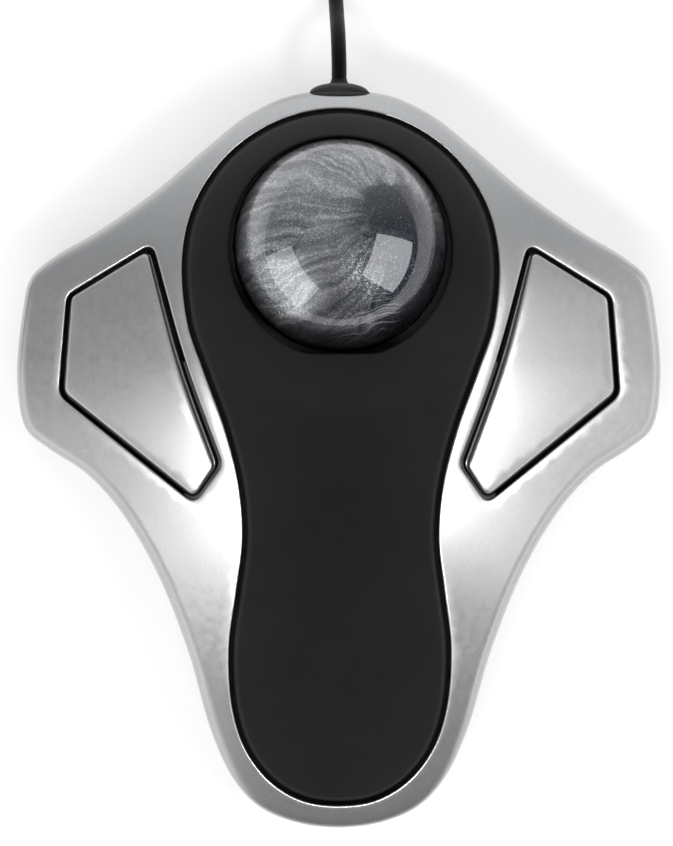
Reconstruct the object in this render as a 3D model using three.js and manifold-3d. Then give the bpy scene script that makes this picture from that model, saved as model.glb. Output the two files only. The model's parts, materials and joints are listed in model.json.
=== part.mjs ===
// Trackball mouse: a winged two-button case round a 40 mm ball, with its insides and its USB cable.
// Millimetres, +Z up, +Y towards the cable. The origin is on the desk, under the middle of the case.

import * as THREE from 'three';
import { mergeVertices, toCreasedNormals } from 'three/addons/utils/BufferGeometryUtils.js';
import Module from 'manifold-3d';

const wasm = await Module();
wasm.setup();

// ---------------------------------------------------------------- driving dimensions

const gap = 0.3; // between pieces that touch
const footHeight = 1; // the case stands this far above the desk
const floorTop = 3; // upper face of the base floor
const partingZ = 6; // joint between the upper casing and the base
const wall = 2; // casing thickness

const crestY = 20; // the spine is highest here
const crestZ = 35.5;
const frontDrop = 11;
const frontLength = 47;
const palmDrop = 22.5;
const palmLength = 87;
const palmPower = 1.87;

const wingFall = 0.42; // slope of the wings, towards the sides
const palmFall = -0.1; // change of that slope at the palm end
const ridgeRadius = 22; // how round the top of the spine is
const rollWidth = 1.6; // width of the rounded rim
const rollShare = 0.1; // share of the height that the rim rolls down

const ballRadius = 20;
const ballCentre = new THREE.Vector3(0, 40.8, 27);
const ballHoleY = 40.1;
const ballHoleRadius = 21.2;
const ballHoleFlatY = 20;
const collarWall = 1.5;
const collarBottom = 23.3;
const dishY = 35.2;
const dishRadius = 27.4;
const dishSlope = 0.22;

const coverGroove = 0.95; // gap round the black cover
const coverRadius = 30; // round front of the cover's opening
const coverY = 36.9;

const cableRadius = 1.45;
const cableExitY = 73.5;
const cableExitZ = 14.4;
const coilX = -10.5;
const coilY = 124;
const coilRadius = 17.7; // middle of the turns
const coilHalf = 6; // half the width and height of the coil's section
const coilBottom = 1.2;
const tieGap = 0.5;
const tieThickness = 0.6;

const boardBottom = 4.5;
const boardThickness = 1.6;
const boardTop = boardBottom + boardThickness;

const origin = new THREE.Vector2(0, 2); // every outline is star-shaped about this point
const outlineSteps = 64;
const coverSteps = 60;

// ---------------------------------------------------------------- materials

function finish(color, roughness, metalness) {
  return new THREE.MeshStandardMaterial({ color, roughness, metalness });
}

const silverPaint = finish(0xb4b4b4, 0.32, 0.75);
const softBlack = finish(0x2d2d2d, 0.6, 0);
const blackPlastic = finish(0x1c1c1e, 0.5, 0);
const marbledGrey = finish(0x8d9095, 0.15, 0.2);
const blackRubber = finish(0x19191a, 0.85, 0);
const steel = finish(0xb8bbbf, 0.3, 1);
const boardGreen = finish(0x1f5a3a, 0.5, 0);
const clearPlastic = finish(0xd8e2e8, 0.1, 0);
const redPlastic = finish(0x8e1f1c, 0.25, 0);
const whitePlastic = finish(0xe4e2da, 0.5, 0);
const ceramic = finish(0xefeee8, 0.15, 0);
const labelGrey = finish(0xb9bcbd, 0.6, 0);

// ---------------------------------------------------------------- geometry helpers

function signedVolume(geometry) {
  const position = geometry.attributes.position;
  const [a, b, c] = [new THREE.Vector3(), new THREE.Vector3(), new THREE.Vector3()];
  let volume = 0;
  for (let i = 0; i < geometry.index.count; i += 3) {
    a.fromBufferAttribute(position, geometry.index.getX(i));
    b.fromBufferAttribute(position, geometry.index.getX(i + 1));
    c.fromBufferAttribute(position, geometry.index.getX(i + 2));
    volume += a.dot(b.cross(c)) / 6;
  }
  return volume;
}

// Merges shared corners, drops empty triangles and turns the faces outwards
function weld(geometry) {
  const bare = geometry.clone();
  bare.deleteAttribute('normal');
  bare.deleteAttribute('uv');
  const merged = mergeVertices(bare, 1e-4);
  const kept = [];
  for (let i = 0; i < merged.index.count; i += 3) {
    const [a, b, c] = [merged.index.getX(i), merged.index.getX(i + 1), merged.index.getX(i + 2)];
    if (a !== b && b !== c && c !== a) kept.push(a, b, c);
  }
  merged.setIndex(kept);
  if (signedVolume(merged) < 0) merged.setIndex(kept.reverse());
  return merged;
}

function toSolid(geometry) {
  const welded = weld(geometry);
  const vertProperties = new Float32Array(welded.attributes.position.array);
  const triVerts = new Uint32Array(welded.index.array);
  return new wasm.Manifold(new wasm.Mesh({ numProp: 3, vertProperties, triVerts }));
}

function fromSolid(solid) {
  const mesh = solid.getMesh();
  const geometry = new THREE.BufferGeometry();
  geometry.setAttribute('position', new THREE.BufferAttribute(mesh.vertProperties, 3));
  geometry.setIndex(new THREE.BufferAttribute(mesh.triVerts, 1));
  return geometry;
}

function combine(base, added, removed = []) {
  let solid = toSolid(base);
  for (const geometry of added) solid = solid.add(toSolid(geometry));
  for (const geometry of removed) solid = solid.subtract(toSolid(geometry));
  return fromSolid(solid);
}

// A lathe whose rings are stretched: each ring is a list of points, one for each segment
function stretchedLathe(rings) {
  const segments = rings[0].length;
  const profile = rings.map((ring, row) => new THREE.Vector2(1, row));
  const geometry = new THREE.LatheGeometry(profile, segments);
  for (let i = 0; i <= segments; i++) {
    rings.forEach((ring, row) => {
      const { x, y, z } = ring[i % segments];
      geometry.attributes.position.setXYZ(i * rings.length + row, x, y, z);
    });
  }
  return geometry;
}

function lathe(profile, segments) {
  return new THREE.LatheGeometry(profile.map(([r, y]) => new THREE.Vector2(r, y)), segments);
}

// Lathes turn about Y: these stand them up along Z, with the profile's second value as the height
function uprightLathe(profile, segments) {
  return lathe(profile, segments).rotateX(Math.PI / 2);
}

function cylinder(radius, bottom, top, x = 0, y = 0, segments = 16) {
  const geometry = new THREE.CylinderGeometry(radius, radius, top - bottom, segments);
  return geometry.rotateX(Math.PI / 2).translate(x, y, (top + bottom) / 2);
}

function box(sizeX, sizeY, sizeZ, x, y, z) {
  return new THREE.BoxGeometry(sizeX, sizeY, sizeZ).translate(x, y, z);
}

function extrude(points, bottom, top, holes = []) {
  const shape = new THREE.Shape(points);
  shape.holes = holes.map((hole) => new THREE.Path(hole));
  const geometry = new THREE.ExtrudeGeometry(shape, { depth: top - bottom, bevelEnabled: false });
  return geometry.translate(0, 0, bottom);
}

// ---------------------------------------------------------------- outlines

function mirrored(half) {
  const right = half.map(([x, y]) => new THREE.Vector3(x, y, 0));
  const left = half.slice(1, -1).reverse().map(([x, y]) => new THREE.Vector3(-x, y, 0));
  return right.concat(left);
}

// Where rays from the origin at equal angles meet a smooth closed curve
function byAngle(half, count) {
  const curve = new THREE.CatmullRomCurve3(mirrored(half), true, 'centripetal');
  const fine = curve.getPoints(600).map((p) => new THREE.Vector2(p.x, p.y).sub(origin));
  const outline = [];
  for (let i = 0; i < count; i++) {
    const angle = (i / count) * 2 * Math.PI;
    const ray = new THREE.Vector2(Math.cos(angle), Math.sin(angle));
    for (let k = 0; k < fine.length - 1; k++) {
      const [a, b] = [fine[k], fine[k + 1]];
      const [sideA, sideB] = [ray.cross(a), ray.cross(b)];
      if (sideA * sideB > 0 || a.dot(ray) < 0 || sideA === sideB) continue;
      const hit = a.clone().lerp(b, sideA / (sideA - sideB));
      outline.push(hit.add(origin));
      break;
    }
  }
  return outline;
}

// Moves an outline inwards along its normals; a negative distance moves it outwards
function inset(outline, distance) {
  const last = outline.length - 1;
  return outline.map((point, i) => {
    const before = outline[i === 0 ? last : i - 1];
    const after = outline[i === last ? 0 : i + 1];
    const along = after.clone().sub(before).normalize();
    return new THREE.Vector2(point.x - along.y * distance, point.y + along.x * distance);
  });
}

function towards(outline, centre, share) {
  return outline.map((point) => centre.clone().lerp(point, share));
}

function ring(outline, height) {
  const heightAt = typeof height === 'number' ? () => height : height;
  return outline.map(({ x, y }) => new THREE.Vector3(x, y, heightAt(x, y)));
}

// Corners are [x, y, radius]; each is rounded with a quadratic curve of equal steps
function roundedPolygon(corners, steps = 3) {
  const points = [];
  corners.forEach(([x, y, radius], i) => {
    const corner = new THREE.Vector2(x, y);
    const before = corners[(i + corners.length - 1) % corners.length];
    const after = corners[(i + 1) % corners.length];
    const toBefore = new THREE.Vector2(before[0], before[1]).sub(corner).setLength(radius);
    const toAfter = new THREE.Vector2(after[0], after[1]).sub(corner).setLength(radius);
    const start = corner.clone().add(toBefore);
    const curve = new THREE.QuadraticBezierCurve(start, corner, corner.clone().add(toAfter));
    points.push(...curve.getPoints(steps));
  });
  return points;
}

// Offsets a polygon's corners along both of their edges, keeping the corners' radii
function insetCorners(corners, distance) {
  return corners.map(([x, y, radius], i) => {
    const corner = new THREE.Vector2(x, y);
    const before = corners[(i + corners.length - 1) % corners.length];
    const after = corners[(i + 1) % corners.length];
    const along1 = corner.clone().sub(new THREE.Vector2(before[0], before[1])).normalize();
    const along2 = new THREE.Vector2(after[0], after[1]).sub(corner).normalize();
    const normal1 = new THREE.Vector2(-along1.y, along1.x);
    const normal2 = new THREE.Vector2(-along2.y, along2.x);
    const shift = normal1.clone().add(normal2).multiplyScalar(distance / (1 + normal1.dot(normal2)));
    return [x + shift.x, y + shift.y, radius];
  });
}

// ---------------------------------------------------------------- the case's outlines and skin

const caseHalf = [
  [0, 70.5], [9.3, 69.6], [17.5, 65.8], [25.7, 59.2], [35, 51.3], [46.2, 43.6], [54.6, 38.8],
  [59.1, 34.9], [60.8, 27.9], [61.8, 15], [60.1, 5.9], [55.8, 2.2], [48.7, -2.4], [42.3, -9.2],
  [35.2, -20.9], [29, -36.6], [24.6, -52.2], [20.4, -61.6], [15.6, -67], [8.9, -70.1], [0, -71.3],
];

function coverHalf() {
  const round = [90, 68, 46, 24, 4].map((degrees) => {
    const angle = THREE.MathUtils.degToRad(degrees);
    return [coverRadius * Math.cos(angle), coverY + coverRadius * Math.sin(angle)];
  });
  const tail = [
    [29, 26], [26, 17], [21.9, 5.7], [19.3, -5], [18.6, -15], [19.8, -25], [21.2, -36],
    [20.5, -47.9], [18, -55.8], [13.2, -62.2], [7, -65.9], [0, -66.9],
  ];
  return round.concat(tail);
}

const caseOutline = byAngle(caseHalf, outlineSteps);
const coverOpening = byAngle(coverHalf(), outlineSteps);
const coverOutline = inset(byAngle(coverHalf(), coverSteps), coverGroove);

function edgeDistance(x, y) {
  const point = new THREE.Vector3(x, y, 0);
  const closest = new THREE.Vector3();
  const line = new THREE.Line3();
  let best = Infinity;
  caseOutline.forEach((a, i) => {
    const b = caseOutline[(i + 1) % caseOutline.length];
    line.start.set(a.x, a.y, 0);
    line.end.set(b.x, b.y, 0);
    line.closestPointToPoint(point, true, closest);
    best = Math.min(best, closest.distanceTo(point));
  });
  return best;
}

function spine(y) {
  const front = frontDrop * (Math.max(0, y - crestY) / frontLength) ** 3;
  const palm = palmDrop * (Math.max(0, crestY - y) / palmLength) ** palmPower;
  return crestZ - front - palm;
}

// Height of the outer surface
function skin(x, y) {
  const fall = wingFall + palmFall * THREE.MathUtils.smoothstep(-y, 0, 50);
  const crown = spine(y) - fall * (Math.hypot(x, ridgeRadius) - ridgeRadius);
  const inside = Math.min(1, edgeDistance(x, y) / rollWidth);
  const roll = 1 - Math.sqrt(1 - (1 - inside) ** 2);
  const dish = dishSlope * Math.max(0, dishRadius - Math.hypot(x, y - dishY));
  return partingZ + (crown - partingZ) * (1 - rollShare * roll) - dish;
}

function below(depth) {
  return (x, y) => skin(x, y) - depth;
}

const caseScrews = [
  { x: 29.4, y: 51, radius: 2.5, reach: 12 },
  { x: 56.5, y: 22, radius: 2.5, reach: 12 },
  { x: 23.8, y: -40, radius: 1.9, reach: 12 },
].flatMap((place) => [place, { ...place, x: -place.x }]);
const screwBore = 1.4;

// ---------------------------------------------------------------- buttons

const openingCorners = [
  [-35.6, 41.2, 2.4], [-52.2, 31.4, 1.6], [-53.8, 12.3, 2], [-27.7, -8.4, 2.2], [-22.2, -0.9, 1.6],
  [-29.5, 18.6, 9],
];
const faceCorners = [
  [-36.7, 39.6, 1.4], [-51.2, 31, 1], [-52.6, 12.9, 1.2], [-27.8, -6.9, 1.4], [-24.1, -1.2, 1],
  [-31.3, 18.4, 8],
];
const skirtInset = 0.6; // gap round a keycap, at the foot of its skirt
const skirtWall = 1.4;
const skirtDepth = 5.5;
const keyThickness = 2;
const keyBevel = 0.5;
const keyCentre = [-38.5, 15];
const frameWall = 1;
const frameTop = 2.3;
const ledgeTop = 7.5;
const ledgeBottom = 9;
const ledgeReach = 1.2;

const pinEnds = [[-37.6, 35.6], [-46.5, 30.4]];
const pinDepth = 4.4; // below the outer surface
const pinRadius = 0.7;
const pinBore = 0.95;
const pinHalf = 5.2;
const switchPlace = new THREE.Vector2(-33, 2); // the plunger under the left button
const switchTop = boardTop + 6.5;
const plungerRise = 1;
const plungerSunk = 1.3;

// side is -1 on the left and 1 on the right
function onSide(corners, side) {
  if (side < 0) return corners;
  return corners.map(([x, y, radius]) => [-x, y, radius]).reverse();
}

// The keycap's pin: its middle and three directions, along it, outwards and up
function pinFrame(side) {
  const ends = pinEnds.map(([x, y]) => new THREE.Vector3(-side * x, y, skin(x, y) - pinDepth));
  const along = ends[1].clone().sub(ends[0]).normalize();
  const outward = new THREE.Vector3(0, 0, side).cross(along).normalize();
  const up = along.clone().cross(outward).multiplyScalar(side);
  const middle = ends[0].clone().add(ends[1]).multiplyScalar(0.5);
  const basis = new THREE.Matrix4().makeBasis(along, outward.multiplyScalar(side), up);
  return { middle, matrix: basis.setPosition(middle), outwardSign: side };
}

// A box in the pin's own directions
function pinBox(frame, along, outward, up) {
  const size = [along, outward, up].map(([low, high]) => high - low);
  const middle = [along, outward, up].map(([low, high]) => (low + high) / 2);
  const geometry = new THREE.BoxGeometry(...size);
  geometry.translate(middle[0], middle[1] * frame.outwardSign, middle[2]);
  return geometry.applyMatrix4(frame.matrix);
}

function pinCylinder(frame, radius, half, segments = 12) {
  const geometry = new THREE.CylinderGeometry(radius, radius, 2 * half, segments);
  return geometry.rotateZ(Math.PI / 2).applyMatrix4(frame.matrix);
}

function keycap(side) {
  const face = roundedPolygon(onSide(faceCorners, side));
  const skirt = roundedPolygon(insetCorners(onSide(openingCorners, side), skirtInset));
  const inner = roundedPolygon(insetCorners(onSide(openingCorners, side), skirtInset + skirtWall));
  const centre = new THREE.Vector2(-side * keyCentre[0], keyCentre[1]);
  const shrunkFace = towards(face, centre, 0.965);
  const shell = stretchedLathe([
    ring(towards(face, centre, 0), skin),
    ring(towards(face, centre, 0.35), skin),
    ring(towards(face, centre, 0.7), skin),
    ring(shrunkFace, skin),
    ring(face, below(keyBevel)),
    ring(skirt, below(skirtDepth)),
    ring(inner, below(skirtDepth)),
    ring(inner, below(keyThickness)),
    ring(towards(inner, centre, 0.5), below(keyThickness)),
    ring(towards(inner, centre, 0), below(keyThickness)),
  ]);
  const frame = pinFrame(side);
  const lugs = [-2.2, 2.2].map((along) => {
    return pinBox(frame, [along - 0.8, along + 0.8], [-1.5, 1.5], [-1.5, 2.8]);
  });
  const stemX = -side * switchPlace.x;
  const stemBottom = switchTop + plungerRise + gap;
  const stemTop = skin(stemX, switchPlace.y) - keyThickness / 2;
  const stemHeight = stemTop - stemBottom;
  const stem = box(3, 3, stemHeight, stemX, switchPlace.y, stemBottom + stemHeight / 2);
  return combine(shell, [...lugs, stem], [pinCylinder(frame, pinBore, pinHalf)]);
}

function buttonFrame(side) {
  const corners = onSide(openingCorners, side);
  const outer = roundedPolygon(insetCorners(corners, -frameWall));
  const mouth = roundedPolygon(insetCorners(corners, -0.05));
  const ledge = roundedPolygon(insetCorners(corners, ledgeReach));
  const channel = stretchedLathe([
    ring(outer, below(frameTop)),
    ring(outer, below(ledgeBottom)),
    ring(ledge, below(ledgeBottom)),
    ring(ledge, below(ledgeTop)),
    ring(mouth, below(ledgeTop)),
    ring(mouth, below(frameTop)),
    ring(outer, below(frameTop)),
  ]);
  const frame = pinFrame(side);
  const lugs = [-4.4, 4.4].flatMap((along) => [
    pinBox(frame, [along - 0.7, along + 0.7], [-1.5, 1.2], [-4.6, 1.5]),
    pinBox(frame, [along - 0.7, along + 0.7], [-1.5, 3.2], [-4.6, -3.3]),
  ]);
  return combine(channel, lugs, [pinCylinder(frame, pinBore, pinHalf + gap)]);
}

// ---------------------------------------------------------------- casings

// The lowest height of the outer surface over a round post
function skinOver({ x, y, radius }) {
  const heights = [0, 60, 120, 180, 240, 300].map((degrees) => {
    const angle = THREE.MathUtils.degToRad(degrees);
    return skin(x + radius * Math.cos(angle), y + radius * Math.sin(angle));
  });
  return Math.min(...heights);
}

function topShell() {
  // Rings step in from the rim by a reach in mm, or by a share of the way to the cover's opening
  const steppedIn = (reach, share) => caseOutline.map((edge, i) => {
    const span = edge.distanceTo(coverOpening[i]);
    return edge.clone().lerp(coverOpening[i], Math.min(reach / span, share));
  });
  const rings = [
    ring(coverOpening, skin),
    ring(steppedIn(20, 0.76), skin),
    ring(steppedIn(9, 0.62), skin),
    ring(steppedIn(4.5, 0.46), skin),
    ring(steppedIn(2, 0.3), skin),
    ring(steppedIn(0.6, 0.12), skin),
    ring(caseOutline, skin),
    ring(caseOutline, partingZ),
    ring(steppedIn(wall, 1), partingZ),
    ring(steppedIn(wall, 1), below(wall)),
    ring(steppedIn(6, 0.6), below(wall)),
    ring(steppedIn(18, 0.8), below(wall)),
    ring(coverOpening, below(wall)),
  ];
  const shell = stretchedLathe([...rings, rings[0]]);
  const bosses = caseScrews.map((place) => {
    const top = skinOver(place) - wall / 2;
    return cylinder(place.radius, partingZ, top, place.x, place.y, 10);
  });
  const bores = caseScrews.map((place) => {
    const top = Math.min(partingZ + 8, skinOver(place) - wall);
    return cylinder(screwBore, partingZ - 1, top, place.x, place.y, 8);
  });
  const openings = [-1, 1].map((side) => extrude(roundedPolygon(onSide(openingCorners, side)), 0, 60));
  return combine(shell, bosses, [...bores, ...openings, grommetSpace(grommetRadius + gap / 2)]);
}

function centerCover() {
  const flange = inset(coverOutline, -coverGroove - 0.8);
  const under = 2.2;
  const shell = stretchedLathe([
    ring(towards(coverOutline, origin, 0), skin),
    ring(towards(coverOutline, origin, 0.4), skin),
    ring(towards(coverOutline, origin, 0.72), skin),
    ring(inset(coverOutline, 1.7), skin),
    ring(inset(coverOutline, 0.5), below(0.12)),
    ring(coverOutline, below(0.6)),
    ring(coverOutline, below(2.6)),
    ring(flange, below(2.6)),
    ring(flange, below(4)),
    ring(inset(coverOutline, 2.2), below(4)),
    ring(inset(coverOutline, 2.2), below(under)),
    ring(towards(coverOutline, origin, 0.6), below(under)),
    ring(towards(coverOutline, origin, 0), below(under)),
  ]);
  const hole = ballHole(0);
  const outside = ballHole(collarWall);
  const collarRings = [
    ring(hole, collarBottom),
    ring(outside, collarBottom),
    ring(outside, below(under / 2)),
    ring(hole, below(under / 2)),
  ];
  const collar = stretchedLathe([...collarRings, collarRings[0]]);
  const removed = [
    extrude(hole, 10, 60),
    grommetSpace(grommetRadius + 1.4),
    ...caseScrews.map(({ x, y, radius }) => cylinder(radius + gap, 0, crestZ, x, y)),
  ];
  return combine(shell, [collar], removed);
}

// The opening for the ball: a circle with a flat towards the palm, grown by a wall
function ballHole(grown) {
  const radius = ballHoleRadius + grown;
  const points = [];
  const steps = 36;
  for (let i = 0; i < steps; i++) {
    const angle = (i / steps) * 2 * Math.PI;
    const y = Math.max(ballHoleY + radius * Math.sin(angle), ballHoleFlatY - grown);
    points.push(new THREE.Vector2(radius * Math.cos(angle), y));
  }
  return points;
}

function baseShell() {
  const outline = (distance) => inset(caseOutline, distance);
  const tray = stretchedLathe([
    ring(towards(caseOutline, origin, 0), footHeight),
    ring(outline(3), footHeight),
    ring(outline(1.2), footHeight + 1.2),
    ring(outline(0.6), partingZ - gap),
    ring(outline(2.4), partingZ - gap),
    ring(outline(2.4), partingZ + 1.2),
    ring(outline(3.7), partingZ + 1.2),
    ring(outline(3.7), floorTop),
    ring(towards(caseOutline, origin, 0), floorTop),
  ]);
  const postFoot = floorTop - 0.5;
  const posts = [
    ...caseScrews.map(({ x, y }) => cylinder(3, postFoot, partingZ - gap, x, y, 10)),
    ...socketScrews.map(({ x, y }) => cylinder(3, postFoot, earBottom - gap, x, y, 10)),
    ...boardPosts.map(({ x, y }) => cylinder(2.4, postFoot, boardBottom - 0.1, x, y, 10)),
  ];
  const cuts = [
    ...caseScrews.map(({ x, y }) => cylinder(2.6, 0, 2.6, x, y, 10)),
    ...caseScrews.map(({ x, y }) => cylinder(screwBore, 2, partingZ, x, y, 8)),
    ...caseScrews.map(({ x, y, radius }) => cylinder(radius + gap, partingZ - gap, 9, x, y, 10)),
    ...socketScrews.map(({ x, y }) => cylinder(socketBore, 9, earBottom, x, y, 8)),
    ...boardScrews.map(({ x, y }) => cylinder(0.95, floorTop, boardBottom, x, y, 8)),
    ...feet.map(({ x, y }) => cylinder(footRadius + gap, 0, footHeight + 1, x, y, 16)),
    extrude(labelOutline(gap), 0, footHeight + 0.6),
  ];
  return combine(tray, posts, cuts);
}

const feet = [{ x: 37.5, y: 39.2 }, { x: 11, y: -53 }].flatMap(({ x, y }) => [{ x, y }, { x: -x, y }]);
const footRadius = 5;

function foot() {
  return uprightLathe([[0, 0], [4.4, 0], [5, 0.5], [5, footHeight + 0.7], [0, footHeight + 0.7]], 16);
}

function labelOutline(grown) {
  const [halfX, halfY, radius] = [17 + grown, 11 + grown, 2 + grown];
  const corners = [[halfX, halfY], [-halfX, halfY], [-halfX, -halfY], [halfX, -halfY]];
  return roundedPolygon(corners.map(([x, y]) => [x, y - 18, radius]), 3);
}

// A slotted screw that stands with its head's face at z = 0 and its tip up
function screw(headRadius, headHeight, shaftRadius, length) {
  const profile = [
    [0, 0], [headRadius - 0.3, 0], [headRadius, 0.3], [headRadius, headHeight],
    [shaftRadius, headHeight], [shaftRadius, length - shaftRadius], [0, length],
  ];
  const slot = box(headRadius * 1.3, 0.6, 1, 0, 0, 0);
  return combine(uprightLathe(profile, 8), [], [slot]);
}

// ---------------------------------------------------------------- ball, socket and sensor

const socketInner = 20.9;
const socketOuter = 22.5;
const socketTop = 23;
const earBottom = 18;
const earTop = 20;
const earDistance = 25;
const socketBore = 1.15;
const socketScrews = [45, 135, 225, 315].map((degrees) => {
  const angle = THREE.MathUtils.degToRad(degrees);
  const x = earDistance * Math.cos(angle);
  return { x, y: ballCentre.y + earDistance * Math.sin(angle), angle };
});
const bearingRadius = 1.25;
const bearingDistance = ballRadius + bearingRadius + 0.2;
const bearingDirections = [90, 210, 330].map((degrees) => {
  const angle = THREE.MathUtils.degToRad(degrees);
  const slant = Math.SQRT1_2;
  return new THREE.Vector3(slant * Math.cos(angle), slant * Math.sin(angle), -slant);
});
const sensorTilt = THREE.MathUtils.degToRad(30); // below the horizontal, on the palm side

function bowlArc(radius) {
  const points = [];
  const top = Math.acos((ballCentre.z - socketTop) / radius);
  const steps = 6;
  for (let i = 0; i <= steps; i++) {
    const angle = (i / steps) * top;
    points.push([radius * Math.sin(angle), ballCentre.z - radius * Math.cos(angle)]);
  }
  return points;
}

// A cylinder through the ball's centre along a direction, between two distances from it
function radialCylinder(direction, radius, near, far, segments = 14) {
  const geometry = new THREE.CylinderGeometry(radius, radius, far - near, segments);
  const turn = new THREE.Quaternion().setFromUnitVectors(new THREE.Vector3(0, 1, 0), direction);
  const middle = direction.clone().multiplyScalar((near + far) / 2).add(ballCentre);
  return geometry.applyQuaternion(turn).translate(middle.x, middle.y, middle.z);
}

const sensorDirection = new THREE.Vector3(0, -Math.cos(sensorTilt), -Math.sin(sensorTilt));

function ballSocket() {
  const outer = bowlArc(socketOuter);
  const inner = bowlArc(socketInner).reverse();
  const bowl = uprightLathe([...outer, ...inner], 24).translate(0, ballCentre.y, 0);
  const ears = socketScrews.map(({ angle }) => {
    const [near, far, half] = [20.2, earDistance + 3, 3];
    const [square, round] = [0.1, 2.6];
    const corners = [[near, -half, square], [far, -half, round], [far, half, round], [near, half, square]];
    return extrude(roundedPolygon(corners), earBottom, earTop).rotateZ(angle).translate(0, ballCentre.y, 0);
  });
  const holes = [
    ...socketScrews.map(({ x, y }) => cylinder(1.2, earBottom - 1, earTop + 1, x, y, 8)),
    ...bearingDirections.map((way) => radialCylinder(way, bearingRadius + gap, 19, 24, 10)),
    radialCylinder(sensorDirection, 4, 18, 25, 16),
  ];
  return combine(bowl, ears, holes);
}

// Sensor pieces are made flat, then laid across the line from the ball's centre
function acrossSensorLine(geometry) {
  geometry.rotateX(Math.PI / 2 + sensorTilt);
  return geometry.translate(ballCentre.x, ballCentre.y, ballCentre.z);
}

// ---------------------------------------------------------------- boards

const boardScrews = [{ x: 12, y: -38 }, { x: -12, y: -38 }];
const boardPosts = [...boardScrews, { x: 37.5, y: -1.5 }, { x: -37.5, y: -1.5 }];

function mainBoard() {
  const half = [[0, 17], [15, 17], [17, 9], [40.5, 9], [40.5, -5], [17, -5], [17, -44], [0, -44]];
  const left = half.slice(1, -1).reverse().map(([x, y]) => [-x, y]);
  const points = [...half, ...left].reverse().map(([x, y]) => new THREE.Vector2(x, y));
  const holes = boardScrews.map(({ x, y }) => cylinder(1.2, boardBottom - 1, boardTop + 1, x, y, 8));
  return combine(extrude(points, boardBottom, boardTop), [], holes);
}

function switchBody(side) {
  const x = -side * (switchPlace.x + 2.4);
  const body = box(12.8, 5.8, 6.5, x, switchPlace.y, boardTop + 3.25);
  const depth = 3.4;
  const slot = box(3.4, 1.9, depth * 2, -side * switchPlace.x, switchPlace.y, switchTop);
  return combine(body, [], [slot]);
}

function usbController() {
  const legs = [-1, 1].flatMap((end) => [0, 90].map((turn) => {
    const teeth = box(0.6, 6, 0.25, end * 3.7, 0, 0.25);
    return teeth.rotateZ(THREE.MathUtils.degToRad(turn));
  }));
  return combine(box(7, 7, 1.2, 0, 0, 0.8), legs);
}

// ---------------------------------------------------------------- cable, coil and plug

const grommetRadius = 5.65;

function grommetSpace(radius) {
  const geometry = new THREE.CylinderGeometry(radius, radius, 16, 32);
  return geometry.translate(0, 68, cableExitZ);
}

function grommet() {
  const dome = [];
  for (let i = 0; i <= 5; i++) {
    const angle = (i / 5) * Math.PI * 0.4;
    dome.push([grommetRadius * Math.cos(angle), 70.6 + 1.9 * Math.sin(angle)]);
  }
  const flange = [[0, 65.6], [6.6, 65.6], [6.6, 66.8], [grommetRadius, 67.2]];
  const tip = [[1.75, cableExitY - gap], [0, cableExitY - gap]];
  return lathe([...flange, ...dome, ...tip], 22).translate(0, 0, cableExitZ);
}

// A round bar along a smooth line through hand-placed points
function tube(points, radius, steps) {
  const path = new THREE.CatmullRomCurve3(points.map((p) => new THREE.Vector3(...p)), false, 'centripetal');
  const section = new THREE.Shape();
  section.absarc(0, 0, radius, 0, 2 * Math.PI);
  const options = { steps, curveSegments: 4, extrudePath: path, bevelEnabled: false };
  return new THREE.ExtrudeGeometry(section, options);
}

// Straight out of the grommet, down to the desk, then a left turn towards the coil
const cableRoute = [
  [0, 73.5, 14.4], [0, 75.8, 14.4], [-0.05, 78.3, 14], [-0.1, 80.6, 12.9], [-0.15, 82.6, 11.2],
  [-0.2, 84.2, 9.2], [-0.25, 85.8, 7], [-0.3, 87.6, 4.9], [-0.4, 89.8, 3], [-0.6, 92.3, 1.9],
  [-1.3, 95, 1.6], [-2.8, 97.6, 1.7], [-5, 99.9, 2.1],
];
// Off the top of the coil and down into the plug
const tailRoute = [
  [3.4, 146.1, 9.6], [6, 146.1, 8.4], [9, 146.1, 6.9], [12, 146.1, 5.5], [15, 146.1, 4.5],
  [17.4, 146.1, 4.15], [19.7, 146.1, 4.1],
];
const plugStart = 20; // the overmould begins here, along X
const plugY = 146.1;
const plugZ = 4.1;

function coil() {
  const [low, high] = [coilRadius - coilHalf, coilRadius + coilHalf];
  const chamfer = 1.8;
  const top = coilBottom + 2 * coilHalf;
  const profile = [
    [low, coilBottom + chamfer], [low + chamfer, coilBottom], [high - chamfer, coilBottom],
    [high, coilBottom + chamfer], [high, top - chamfer], [high - chamfer, top], [low + chamfer, top],
    [low, top - chamfer], [low, coilBottom + chamfer],
  ];
  return uprightLathe(profile, 40).translate(coilX, coilY, 0);
}

// A strap round the coil's section, laid along -X from the coil's middle
function coilTie() {
  const inner = coilHalf + tieGap;
  const outer = inner + tieThickness;
  const strap = extrude(roundedSection(outer, outer, 2), -3, 3, [roundedSection(inner, inner, 1.4)]);
  const middleZ = coilBottom + coilHalf;
  return strap.rotateX(Math.PI / 2).translate(coilX - coilRadius, coilY, middleZ);
}

// An upright section in Y and Z, extruded along X
function alongX(points, start, end, holes = []) {
  const bar = extrude(points, 0, end - start, holes);
  return bar.rotateX(Math.PI / 2).rotateZ(Math.PI / 2).translate(start, plugY, plugZ);
}

function roundedSection(halfWidth, halfHeight, radius) {
  const signs = [[1, 1], [-1, 1], [-1, -1], [1, -1]];
  return roundedPolygon(signs.map(([a, b]) => [a * halfWidth, b * halfHeight, radius]), 3);
}

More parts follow.
